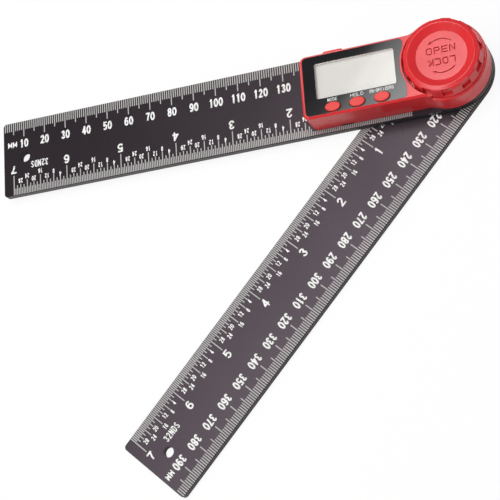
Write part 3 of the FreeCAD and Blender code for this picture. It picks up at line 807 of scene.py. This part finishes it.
@dataclass
class Lettering:
    """Characters drawn with one pen, each text modelled once and copied to its places.

    A text is drawn in millimetres and brought to its real size at the end.
    """

    pen: float
    gap: float
    height: float
    thickness: float = 0.03
    resolution: int = 3

    def model(self, text: str, width: float) -> bpy.types.Object:
        """Models a text about the origin, reading along X.

        Args:
            text: the characters.
            width: the width of the whole text, in millimetres.

        Returns:
            A closed mesh whose lower face is at z = 0.
        """
        curve = bpy.data.curves.new("pen_strokes", "CURVE")
        curve.dimensions = "2D"
        curve.fill_mode = "NONE"
        curve.extrude = self.thickness / 2
        curve.resolution_u = self.resolution
        glyph = (width - (len(text) - 1) * self.gap) / len(text)
        for place, character in enumerate(text):
            left = place * (glyph + self.gap) - width / 2
            for stroke in ALPHABET[character]:
                self.draw(curve, stroke, left, glyph)
        obj = bpy.data.objects.new("text", curve)
        bpy.context.scene.collection.objects.link(obj)
        pick(obj)
        bpy.ops.object.convert(target="MESH")
        obj = bpy.context.active_object
        wall = obj.modifiers.new("pen_width", "SOLIDIFY")
        wall.thickness = self.pen
        wall.offset = 0.0
        wall.use_even_offset = True
        edit_all(apply_modifiers(obj))
        bpy.ops.mesh.normals_make_consistent(inside=False)
        bpy.ops.mesh.intersect_boolean(operation="UNION", use_self=True, solver="EXACT")
        leave_edit()
        moved(obj, Matrix.Diagonal((MM, MM, MM, 1)) @ Matrix.Translation((0, 0, self.thickness / 2)))
        return closed(obj, 0.0005 * MM)

    def draw(self, curve: bpy.types.Curve, stroke: Stroke, left: float, glyph: float) -> None:
        """Adds one stroke of a character to a curve.

        Args:
            curve: the curve that holds the text.
            stroke: the stroke, in shares of the character.
            left: where the character starts.
            glyph: the character's width.
        """
        inset = self.pen / 2
        reach = Vector((glyph - self.pen, self.height - self.pen, 0))
        corner = Vector((left + inset, inset - self.height / 2, 0))
        spots = [corner + Vector((x * reach.x, y * reach.y, 0)) for x, y in stroke.points]
        if not stroke.smooth and not stroke.ring:
            spots[0] = self.lengthened(spots[1], spots[0])
            spots[-1] = self.lengthened(spots[-2], spots[-1])
        spline = curve.splines.new("BEZIER" if stroke.smooth else "POLY")
        points = spline.bezier_points if stroke.smooth else spline.points
        points.add(len(spots) - 1)
        spline.use_cyclic_u = stroke.ring
        for point, spot in zip(points, spots):
            point.co = spot if stroke.smooth else (*spot, 1)
        if stroke.smooth:
            for point in points:
                point.handle_left_type = "AUTO"
                point.handle_right_type = "AUTO"

    def lengthened(self, before: Vector, end: Vector) -> Vector:
        """Moves a level or upright stroke's end on by half the pen; a slanting one stays.

        Args:
            before: the point before the end.
            end: the stroke's end.

        Returns:
            The end, moved on or as it was.
        """
        run = end - before
        square = min(abs(run.x), abs(run.y)) < 0.1 * run.length
        return end + run.normalized() * self.pen / 2 if square else end


@dataclass
class BladePrint:
    """The white print of one blade: millimetres along one edge, inches along the other."""

    arm: ArmPlace
    metric_side: Side
    metric_start: int
    metric_reversed: bool
    metric_hidden_from: float
    inch_hidden_from: float
    metric_strip: float
    inch_strip: float
    unit_along: float
    unit_width: float
    tick_width: float = 0.44 * MM
    blade_length: float = 200 * MM
    inch_zero: float = 17.4 * MM
    inch_count: int = 7
    edge_gap: float = 0.25 * MM
    ink: float = 0.03 * MM
    ink_rounding: float = 0.04 * MM
    metric_digit: float = 2.15
    inch_digit: float = 2.65
    inch_one: float = 2.0
    part_digit: float = 1.11
    part_rows: tuple[tuple[int, float], ...] = ((4, 6.1 * MM), (8, 7.9 * MM), (12, 6.4 * MM), (16, 9.3 * MM),
                                                (20, 6.4 * MM), (24, 8.2 * MM), (28, 6.5 * MM))
    fraction_along: float = 182.7 * MM
    fraction_row: float = 4.1 * MM
    fraction_width: float = 8.3
    metric_combs: tuple[TickComb, ...] = tuple(TickComb(i, 5, 4.1 * MM) for i in (1, 2, 3, 4)) + (
        TickComb(5, 10, 5.8 * MM), TickComb(10, 10, 7.4 * MM))
    inch_combs: tuple[TickComb, ...] = (
        TickComb(1, 2, 3.2 * MM), TickComb(2, 4, 4.6 * MM), TickComb(4, 8, 5.0 * MM),
        TickComb(8, 16, 6.5 * MM), TickComb(16, 32, 7.6 * MM), TickComb(0, 32, 9.3 * MM))
    metric_row: float = 10.5 * MM
    inch_row: float = 12.2 * MM
    metric_pen: Lettering = field(default_factory=lambda: Lettering(0.73, 0.25, 3.95))
    inch_pen: Lettering = field(default_factory=lambda: Lettering(0.75, 0.25, 4.0))
    part_pen: Lettering = field(default_factory=lambda: Lettering(0.38, 0.16, 2.2, resolution=2))
    unit_pen: Lettering = field(default_factory=lambda: Lettering(0.5, 0.3, 2.6))
    fraction_pen: Lettering = field(default_factory=lambda: Lettering(0.48, 0.3, 3.1))

    def tick(self, length: float) -> bpy.types.Object:
        """Models one tick from the edge inwards, with cut ink corners.

        Args:
            length: the tick's length.

        Returns:
            The tick, with its outer end at the origin.
        """
        obj = block(Vector((self.tick_width, length, self.ink)), Vector((0, -length / 2, self.ink / 2)))
        edit_all(obj)
        bpy.ops.mesh.select_all(action="DESELECT")
        leave_edit()
        for edge in obj.data.edges:
            ends = [obj.data.vertices[i].co for i in edge.vertices]
            edge.select = abs(ends[0].z - ends[1].z) > self.ink / 2
        bpy.ops.object.mode_set(mode="EDIT")
        bpy.ops.mesh.select_mode(type="EDGE")
        bpy.ops.mesh.bevel(offset=self.ink_rounding, segments=1, affect="EDGES")
        leave_edit()
        return obj

    def comb(self, comb: TickComb, last: int, pitch: float, start: float, flow: int,
             side: Side, limit: float) -> bpy.types.Object | None:
        """Copies one tick along the edge by an array.

        Args:
            comb: which marks the run holds, and their size.
            last: the last mark of the scale in this stretch.
            pitch: the distance of one mark, in metres.
            start: where mark 0 lies along the arm.
            flow: 1 if the marks count away from the pivot, -1 if towards it.
            side: the edge that the ticks start from.
            limit: the longest tick that the strip has room for.

        Returns:
            The run of ticks, or None if it has none.
        """
        count = (last - comb.first) // comb.step + 1
        if count < 1:
            return None
        reach = min(comb.length, limit) - self.edge_gap
        obj = self.tick(reach)
        facing = 0.0 if side is Side.LEFT else math.pi
        turn = 1 if side is Side.LEFT else -1
        array = obj.modifiers.new("run", "ARRAY")
        array.use_relative_offset = False
        array.use_constant_offset = True
        array.constant_offset_displace = (flow * turn * comb.step * pitch, 0, 0)
        array.count = count
        apply_modifiers(obj)
        edge = side.value * (self.arm.half_width - self.edge_gap)
        return moved(obj, self.arm.at(start + flow * comb.first * pitch, edge, facing))

    def ticks(self) -> list[bpy.types.Object]:
        """Makes all ticks of both scales, shorter where the housing leaves only a strip.

        Returns:
            The runs of ticks, in place.
        """
        runs = []
        inch_side = Side.RIGHT if self.metric_side is Side.LEFT else Side.LEFT
        metric_zero = self.blade_length if self.metric_reversed else 0.0
        flow = -1 if self.metric_reversed else 1
        for low, high, limit in self.stretches(self.metric_hidden_from, self.metric_strip, metric_zero,
                                               flow, MM):
            for comb in self.metric_combs:
                runs.append(self.comb(self.from_mark(comb, low), high, MM, metric_zero, flow,
                                      self.metric_side, limit))
        part = INCH / PARTS
        for low, high, limit in self.stretches(self.inch_hidden_from, self.inch_strip, self.inch_zero,
                                               1, part):
            for comb in self.inch_combs:
                runs.append(self.comb(self.from_mark(comb, low), min(high, PARTS * self.inch_count),
                                      part, self.inch_zero, 1, inch_side, limit))
        return [r for r in runs if r is not None]

    def from_mark(self, comb: TickComb, low: int) -> TickComb:
        """The same run of ticks, starting at or after a mark."""
        skipped = max(0, -(-(low - comb.first) // comb.step))
        return TickComb(comb.first + skipped * comb.step, comb.step, comb.length)

    def stretches(self, hidden_from: float, strip: float, zero: float, flow: int,
                  pitch: float) -> list[tuple[int, int, float]]:
        """The free stretch of a scale and the one beside the housing.

        Args:
            hidden_from: where the housing ends along the arm, or 0 without one.
            strip: the width of blade left free beside the housing.
            zero: where mark 0 lies.
            flow: 1 if the marks count away from the pivot, -1 if towards it.
            pitch: the distance of one mark.

        Returns:
            First mark, last mark and longest tick of each stretch.
        """
        longest = self.arm.half_width
        far = int((self.blade_length - zero) / pitch - 0.5) if flow > 0 else int(zero / pitch)
        if hidden_from <= 0:
            return [(1 if flow > 0 and zero == 0 else 0, far, longest)]
        border = int(abs(hidden_from - zero) / pitch)
        if flow > 0:
            return [(0, border, strip), (border + 1, far, longest)]
        free_end = border - 1
        return [(1, free_end, longest), (free_end + 1, int((zero - self.inch_zero) / pitch), strip)]

    def metric_numbers(self, side: int, flip: float) -> list[bpy.types.Object]:
        """The numbers of the millimetre scale, and the name of its unit.

        Args:
            side: 1 on the arm's left edge, -1 on its right edge.
            flip: how far the numbers are turned on the face.

        Returns:
            The numbers, in place.
        """
        made = []
        row = side * (self.arm.half_width - self.metric_row)
        for mark in range(10, 200, 10):
            along = self.blade_length - mark * MM if self.metric_reversed else mark * MM
            if along < self.metric_hidden_from + 2 * self.metric_digit * MM:
                continue
            text = str(self.metric_start + mark)
            label = self.metric_pen.model(text, self.metric_digit * len(text) - self.metric_pen.gap)
            made.append(moved(label, self.arm.at(along, row, flip)))
        unit = self.unit_pen.model("MM", self.unit_width)
        made.append(moved(unit, self.arm.at(self.unit_along, row, flip)))
        return made

    def inch_numbers(self, side: int, flip: float) -> list[bpy.types.Object]:
        """The numbers of the inch scale, its small 32nds, and the name of those parts.

        Args:
            side: 1 on the arm's left edge, -1 on its right edge.
            flip: how far the numbers are turned on the face.

        Returns:
            The numbers, in place.
        """
        made = []
        row = side * (self.arm.half_width - self.inch_row)
        for inch in range(1, self.inch_count + 1):
            along = self.inch_zero + inch * INCH
            if along > self.inch_hidden_from + 2 * MM:
                digit = self.inch_pen.model(str(inch), self.inch_one if inch == 1 else self.inch_digit)
                made.append(moved(digit, self.arm.at(along, row, flip)))
        for part, depth in self.part_rows:
            small = self.part_pen.model(str(part), self.part_digit * len(str(part)) - self.part_pen.gap)
            for inch in range(self.inch_count):
                along = self.inch_zero + (inch + part / PARTS) * INCH
                if along > self.inch_hidden_from + 1.5 * MM:
                    across = side * (self.arm.half_width - depth)
                    made.append(copied(small, self.arm.at(along, across, flip)))
            removed(small)
        fraction = self.fraction_pen.model("32NDS", self.fraction_width)
        made.append(moved(fraction, self.arm.at(self.fraction_along, side * self.fraction_row, flip)))
        return made

    def build(self, tick_ink: bpy.types.Material, number_ink: bpy.types.Material) -> None:
        """Builds the ticks and the numbers as two pieces.

        Args:
            tick_ink: the finish of the ticks.
            number_ink: the finish of the numbers.
        """
        ticks = joined(self.ticks())
        finished(ticks, self.arm.name + "_graduation", tick_ink, self.arm.body)
        side = self.metric_side.value
        flip = 0.0 if self.metric_side is Side.LEFT else math.pi
        numbers = joined(self.metric_numbers(side, flip) + self.inch_numbers(-side, math.pi - flip))
        finished(numbers, self.arm.name + "_numbers", number_ink, self.arm.body)


@dataclass(frozen=True)
class ArcArrow:
    """A curved arrow beside a word: its turn about the pivot, its radius, and its two ends in degrees."""

    facing: float
    radius: float
    tail: float
    head: float


@dataclass
class Knob:
    """The lock knob's softened body and its lettered centre."""

    turn: float
    cut_depth: float = 0.6 * MM
    skin: float = 0.01 * MM
    word_row: float = 2.45 * MM
    word_pen: Lettering = field(default_factory=lambda: Lettering(0.5, 0.62, 2.95, thickness=1.2))
    arc_width: float = 0.45 * MM
    head_length: float = 1.7 * MM
    head_width: float = 1.5 * MM
    open_width: float = 11.9
    lock_width: float = 11.2
    plain_margin: float = 1.225 * MM
    arrows: tuple[ArcArrow, ...] = (ArcArrow(math.pi, 7.1 * MM, 40, -34), ArcArrow(0.0, 7.3 * MM, -43, 25))

    def arrow(self, arrow: ArcArrow) -> list[bpy.types.Object]:
        """Models the cutter of a curved arrow about z = 0.

        Args:
            arrow: where the arrow runs.

        Returns:
            The line, spun about the pivot, and the three-sided head.
        """
        height = 2 * self.cut_depth
        deselect()
        bpy.ops.mesh.primitive_plane_add(size=1)
        bar = bpy.context.active_object
        moved(bar, Matrix.Rotation(-math.radians(arrow.tail), 4, "Z")
              @ Matrix.Translation((0, arrow.radius, 0))
              @ Matrix.Rotation(math.pi / 2, 4, "Y") @ Matrix.Diagonal((height, self.arc_width, 1, 1)))
        edit_all(bar)
        bpy.ops.mesh.spin(steps=28, dupli=False, angle=math.radians(arrow.head - arrow.tail),
                          center=(0, 0, 0), axis=(0, 0, 1))
        leave_edit()
        deselect()
        bpy.ops.mesh.primitive_cylinder_add(vertices=3, radius=1, depth=height)
        tip = bpy.context.active_object
        onward = math.copysign(math.pi / 2, arrow.tail - arrow.head)
        moved(tip, Matrix.Rotation(-math.radians(arrow.head), 4, "Z")
              @ Matrix.Translation((0, arrow.radius, 0))
              @ Matrix.Rotation(onward, 4, "Z")
              @ Matrix.Diagonal((self.head_width / math.sqrt(3), self.head_length / 1.5, 1, 1)))
        return [moved(closed(part), Matrix.Rotation(self.turn + arrow.facing, 4, "Z")) for part in (bar, tip)]

    def cap(self, finish: bpy.types.Material, groove_shade: bpy.types.Material) -> bpy.types.Object:
        """Makes the centre, with its two words and two arrows cut in.

        Args:
            finish: the knob's material.
            groove_shade: the rougher finish inside the cuts, with a darker red as painted shade.

        Returns:
            The new centre, in the CAD cap's place.
        """
        low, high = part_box("knob_cap")
        radius = (high.x - low.x) / 2
        deselect()
        bpy.ops.mesh.primitive_cylinder_add(vertices=128, radius=radius, depth=high.z - low.z,
                                            location=(0, 0, (low.z + high.z) / 2))
        disc = settled(bpy.context.active_object)
        cutters = []
        for text, width, facing, row in (("OPEN", self.open_width, math.pi, -1),
                                         ("LOCK", self.lock_width, 0.0, 1)):
            spot = (Matrix.Rotation(self.turn, 4, "Z")
                    @ Matrix.Translation((0, row * self.word_row, high.z - self.cut_depth))
                    @ Matrix.Rotation(facing, 4, "Z"))
            cutters.append(moved(self.word_pen.model(text, width), spot))
        for arrow in self.arrows:
            cutters += [moved(part, Matrix.Translation((0, 0, high.z))) for part in self.arrow(arrow)]
        self.cut(disc, joined(cutters))
        shaded(disc, 30)
        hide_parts("knob_cap")
        finished(disc, "knob_centre", finish, "knob")
        # The faces inside the cuts take the darker red of painted shade.
        disc.data.materials.append(groove_shade)
        for face in disc.data.polygons:
            inside = low.z < face.center.z - self.skin < high.z - 2 * self.skin
            face.material_index = int(inside and face.center.xy.length < radius - self.plain_margin)
        return disc

    def cut(self, disc: bpy.types.Object, cutter: bpy.types.Object) -> None:
        """Cuts crossing solids out of the disc, and removes them.

        Args:
            disc: the knob's centre.
            cutter: the solids, joined into one mesh.
        """
        boolean = disc.modifiers.new("cut", "BOOLEAN")
        boolean.operation = "DIFFERENCE"
        boolean.solver = "EXACT"
        boolean.use_self = True
        boolean.object = cutter
        apply_modifiers(disc)
        removed(cutter)

    def body(self, finish: bpy.types.Material) -> bpy.types.Object:
        """Makes the knob itself, with its edges softened.

        Args:
            finish: the knob's material.

        Returns:
            The knob, in the CAD knob's place.
        """
        shell = softened(unfaceted("lock_knob", "knob_body"), 0.18 * MM, 2, 32)
        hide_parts("lock_knob")
        return finished(shell, "knob_body", finish, "knob")


@dataclass
class Housing:
    """The display housing's softened shell and front, and the words over its buttons."""

    arm: ArmPlace
    label_row: float = 8.55 * MM
    label_pen: Lettering = field(default_factory=lambda: Lettering(0.2, 0.22, 1.4))
    words: tuple[tuple[str, str, float], ...] = (("button_mode", "MODE", 4.1), ("button_hold", "HOLD", 5.4),
                                                 ("button_power", "ON/OFF/ZERO", 9.9))

    def shell(self, finish: bpy.types.Material) -> bpy.types.Object:
        """Makes the red shell with softened edges.

        Args:
            finish: the housing's material.

        Returns:
            The shell, in the CAD shell's place.
        """
        obj = softened(unfaceted("housing_shell", "housing_cover"), 0.25 * MM, 2, 28)
        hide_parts("housing_shell")
        return finished(obj, "housing_cover", finish, self.arm.body)

    def front(self, finish: bpy.types.Material) -> bpy.types.Object:
        """Makes the black front with a fine rounded rim.

        Args:
            finish: the front's material.

        Returns:
            The front, in the CAD front's place.
        """
        obj = softened(unfaceted("bezel_plate", "display_front"), 0.12 * MM, 2, 40)
        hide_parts("bezel_plate")
        return finished(obj, "display_front", finish, self.arm.body)

    def labels(self, finish: bpy.types.Material) -> bpy.types.Object:
        """Prints the words over the three buttons.

        Args:
            finish: the ink.

        Returns:
            The words, joined.
        """
        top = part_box("bezel_plate")[1].z
        face = ArmPlace("front", self.arm.body, self.arm.turn, top, self.arm.half_width)
        made = []
        for node, text, width in self.words:
            low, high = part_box(node)
            centre = Matrix.Rotation(-self.arm.turn, 4, "Z") @ ((low + high) / 2)
            word = self.label_pen.model(text, width)
            made.append(moved(word, face.at(centre.x, self.label_row, math.pi)))
        return finished(joined(made), "button_words", finish, self.arm.body)


@dataclass
class Studio:
    """The pale floor, the soft lamps and the camera."""

    camera_place: Vector
    camera_aim: Vector
    camera_upright: Vector
    focal_pixels: float = 1650.5
    frame_pixels: float = 500.0
    sensor: float = 36.0
    key_place: Vector = field(default_factory=lambda: Vector((0.093, -0.191, 0.9)))
    key_size: tuple[float, float] = (0.9, 0.54)
    key_turn: float = 3.0
    key_layers: tuple[tuple[str, float, float], ...] = (("key_wide", 0.0, 3.9), ("key_mid", 0.02, 2.2),
                                                        ("key_core", 0.04, 2.5))
    side_place: Vector = field(default_factory=lambda: Vector((0.85, -0.1, 0.4)))
    side_aim: Vector = field(default_factory=lambda: Vector((0.03, -0.03, 0.01)))
    side_size: tuple[float, float] = (0.5, 0.4)
    side_power: float = 1.2
    surround: float = 0.25
    floor_glow: float = 0.9

    def camera(self) -> None:
        """Sets the camera at the photograph's angle."""
        data = bpy.data.cameras.new("camera")
        data.sensor_width = self.sensor
        data.lens = self.sensor * self.focal_pixels / self.frame_pixels
        data.clip_start = 0.01
        data.clip_end = 20.0
        obj = bpy.data.objects.new("camera", data)
        bpy.context.scene.collection.objects.link(obj)
        back = (self.camera_place - self.camera_aim).normalized()
        right = self.camera_upright.cross(back).normalized()
        up = back.cross(right)
        rotation = Matrix((right, up, back)).transposed().to_4x4()
        obj.matrix_world = Matrix.Translation(self.camera_place) @ rotation
        bpy.context.scene.camera = obj

    def lamp(self, name: str, place: Vector, aim: Vector, size: tuple[float, float], power: float,
             turn: float = 0.0) -> None:
        """Adds a rectangular soft lamp.

        Args:
            name: the lamp's name.
            place: where it hangs.
            aim: the point that it faces.
            size: its width and height, in metres.
            power: its power, in watts.
            turn: how far it is turned about its own beam, in degrees.
        """
        data = bpy.data.lights.new(name, "AREA")
        data.shape = "RECTANGLE"
        data.size, data.size_y = size
        data.energy = power
        obj = bpy.data.objects.new(name, data)
        bpy.context.scene.collection.objects.link(obj)
        facing = (aim - place).to_track_quat("-Z", "Y").to_matrix().to_4x4()
        obj.matrix_world = Matrix.Translation(place) @ facing @ Matrix.Rotation(math.radians(turn), 4, "Z")

    def floor(self) -> None:
        """A wide white floor that keeps a soft shadow."""
        deselect()
        bpy.ops.mesh.primitive_plane_add(size=6.0, location=(0, 0, -0.02 * MM))
        obj = settled(bpy.context.active_object)
        obj.name = "floor"
        material = bpy.data.materials.new("floor_white")
        material.use_nodes = True
        tree = material.node_tree
        paper = tree.nodes["Principled BSDF"]
        paper.inputs["Base Color"].default_value = (0.86, 0.86, 0.86, 1)
        paper.inputs["Roughness"].default_value = 0.9
        paper.inputs["Specular IOR Level"].default_value = 0.0
        glow = added_node(tree, "ShaderNodeEmission", Strength=1.0)
        self.seen_white(tree, paper.outputs["BSDF"], glow.outputs["Emission"], self.floor_glow,
                        tree.nodes["Material Output"].inputs["Surface"])
        obj.data.materials.append(material)

    def seen_white(self, tree: bpy.types.NodeTree, lit: bpy.types.NodeSocket, white: bpy.types.NodeSocket,
                   share: float, target: bpy.types.NodeSocket) -> None:
        """Mixes a white glow into what the camera and mirrors see of a surface.

        Args:
            tree: the node tree.
            lit: the shader as lit by the lamps.
            white: the white shader.
            share: the glow's share.
            target: the output socket.
        """
        path = added_node(tree, "ShaderNodeLightPath")
        either = added_node(tree, "ShaderNodeMath", operation="MAXIMUM")
        scaled = added_node(tree, "ShaderNodeMath", operation="MULTIPLY")
        scaled.inputs[1].default_value = share
        mix = added_node(tree, "ShaderNodeMixShader")
        tree.links.new(path.outputs["Is Camera Ray"], either.inputs[0])
        tree.links.new(path.outputs["Is Transmission Ray"], either.inputs[1])
        tree.links.new(either.outputs[0], scaled.inputs[0])
        tree.links.new(scaled.outputs[0], mix.inputs["Fac"])
        tree.links.new(lit, mix.inputs[1])
        tree.links.new(white, mix.inputs[2])
        tree.links.new(mix.outputs["Shader"], target)

    def world(self) -> None:
        """A plain grey surround that the camera sees as white."""
        world = bpy.data.worlds.new("surround")
        bpy.context.scene.world = world
        world.use_nodes = True
        tree = world.node_tree
        lit = tree.nodes["Background"]
        lit.inputs["Color"].default_value = (1, 1, 1, 1)
        lit.inputs["Strength"].default_value = self.surround
        white = added_node(tree, "ShaderNodeBackground", Strength=1.0)
        self.seen_white(tree, lit.outputs["Background"], white.outputs["Background"], 1.0,
                        tree.nodes["World Output"].inputs["Surface"])

    def build(self) -> None:
        """Sets the whole studio. The key lamp is layered, brighter away from its near edge."""
        bpy.context.scene.view_settings.view_transform = "Standard"
        self.floor()
        self.world()
        for name, shift, power in self.key_layers:
            spot = self.key_place + Vector((0.0, shift / 2, shift / 10))
            size = (self.key_size[0], self.key_size[1] - shift)
            self.lamp(name, spot, Vector((spot.x, spot.y, 0.0)), size, power, self.key_turn)
        self.lamp("side", self.side_place, self.side_aim, self.side_size, self.side_power)
        self.camera()


def cad_finishes(kit: FinishKit, display_turn: float) -> dict[str, bpy.types.Material]:
    """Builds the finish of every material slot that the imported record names.

    Args:
        kit: the shared node groups.
        display_turn: the turn of the upper arm, in radians.

    Returns:
        The material of each slot; the blade's slot has the lower arm's coating.
    """
    red = tone(218, 43, 48)
    deep_red = tone(210, 38, 43)
    return {
        "blade_black": BladeCoating("blade_coating", 0.0).material(kit),
        "blade_black_turned": BladeCoating("blade_coating_turned", -display_turn).material(kit),
        "housing_red": MouldedPlastic("housing_plastic", red, deep_red, 0.22, 0.29).material(kit),
        "knob_red": MouldedPlastic("knob_plastic", red, deep_red, 0.22, 0.29).material(kit),
        "button_red": MouldedPlastic("button_plastic", tone(223, 60, 53), tone(215, 55, 49), 0.5,
                                     0.6).material(kit),
        "front_black": MouldedPlastic("front_gloss", tone(14, 14, 17), tone(17, 17, 20), 0.05, 0.08,
                                      1500.0, 0.03, 1.54).material(kit),
        "inner_black": MouldedPlastic("inner_plastic", tone(24, 24, 26), tone(30, 30, 32), 0.5,
                                      0.6).material(kit),
        "clear_pane": ClearPane("display_glass").material(kit),
        "lcd_grey": MouldedPlastic("display_cell", tone(225, 223, 219), tone(222, 220, 216), 0.35, 0.45,
                                   1800.0, 0.05).material(kit),
        "white_plastic": MouldedPlastic("bearing_white", tone(225, 225, 220),
                                        tone(215, 215, 208)).material(kit),
        "rubber_grey": MouldedPlastic("connector_rubber", tone(120, 120, 122), tone(105, 105, 108), 0.7,
                                      0.85).material(kit),
        "board_green": MouldedPlastic("board_green", tone(22, 92, 52), tone(18, 80, 46), 0.35,
                                      0.45).material(kit),
        "flex_amber": MouldedPlastic("flex_amber", tone(196, 122, 40), tone(180, 108, 34), 0.3,
                                     0.4).material(kit),
        "steel": Metal("plated_steel", tone(190, 190, 192), tone(160, 160, 164)).material(kit),
        "brass": Metal("brass", tone(206, 170, 96), tone(184, 148, 80)).material(kit),
    }


def dress_nodes(finishes: dict[str, bpy.types.Material]) -> None:
    """Gives every CAD node the finish of its slot.

    Args:
        finishes: the material of each slot.
    """
    for name, obj in frame["nodes"].items():
        for slot in obj.material_slots:
            wanted = slot.material.name.split(".")[0]
            if wanted not in finishes:
                log.warning("%s has no finish for %s", name, wanted)
                continue
            if name == "display_blade":
                wanted = "blade_black_turned"
            slot.material = finishes[wanted]
    log.info("dressed %d nodes", len(frame["nodes"]))


def opening_of_display_arm() -> float:
    """Finds the upper arm's turn about the pivot at rest, from the tray's sliding axis.

    Returns:
        The turn, in radians.
    """
    joint = next(j for j in frame["joints"] if j["name"] == "tray_slide")
    across = -Vector(joint["axis"])
    return math.atan2(across.y, across.x) - math.pi / 2


def main() -> None:
    """Builds the looks in order and reports each piece."""
    logging.basicConfig(level=logging.INFO, format="%(name)s: %(message)s")
    turn = opening_of_display_arm()
    kit = FinishKit()
    finishes = cad_finishes(kit, turn)
    dress_nodes(finishes)
    ink = MouldedPlastic("number_ink", tone(240, 240, 238), tone(230, 230, 228), 0.5, 0.6,
                         1500.0, 0.05).material(kit)
    tick_ink = MouldedPlastic("tick_ink", tone(176, 174, 172), tone(166, 164, 162), 0.5, 0.6,
                              1500.0, 0.05).material(kit)
    half_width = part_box("base_blade")[1].y
    base = ArmPlace("base_blade", "base_arm", 0.0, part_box("base_blade")[1].z, half_width)
    display = ArmPlace("display_blade", "display_arm", turn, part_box("display_blade")[1].z, half_width)
    BladePrint(base, Side.LEFT, metric_start=200, metric_reversed=False, metric_hidden_from=0.0,
               inch_hidden_from=0.0, metric_strip=0.0, inch_strip=0.0, unit_along=196.35 * MM,
               unit_width=3.9).build(tick_ink, ink)
    BladePrint(display, Side.RIGHT, metric_start=0, metric_reversed=True, metric_hidden_from=HOUSING_END,
               inch_hidden_from=HOUSING_END, metric_strip=4.5 * MM, inch_strip=2.05 * MM,
               unit_along=195.6 * MM, unit_width=4.4).build(tick_ink, ink)
    housing = Housing(display)
    housing.shell(finishes["housing_red"])
    housing.front(finishes["front_black"])
    housing.labels(ink)
    knob = Knob(turn)
    knob.body(finishes["knob_red"])
    # Inside the knob's cuts: a rougher red, darker as painted shade.
    groove_shade = MouldedPlastic("knob_groove_shade", tone(204, 42, 49), tone(196, 38, 45), 0.5, 0.6).material(kit)
    knob.cap(finishes["knob_red"], groove_shade)
    Studio(Vector((0.1175, 0.2730, 0.6037)), Vector((0.10537, -0.02612, 0.0)),
           Vector((-0.8016, -0.5292, 0.2783))).build()


if __name__ == "__main__":
    main()
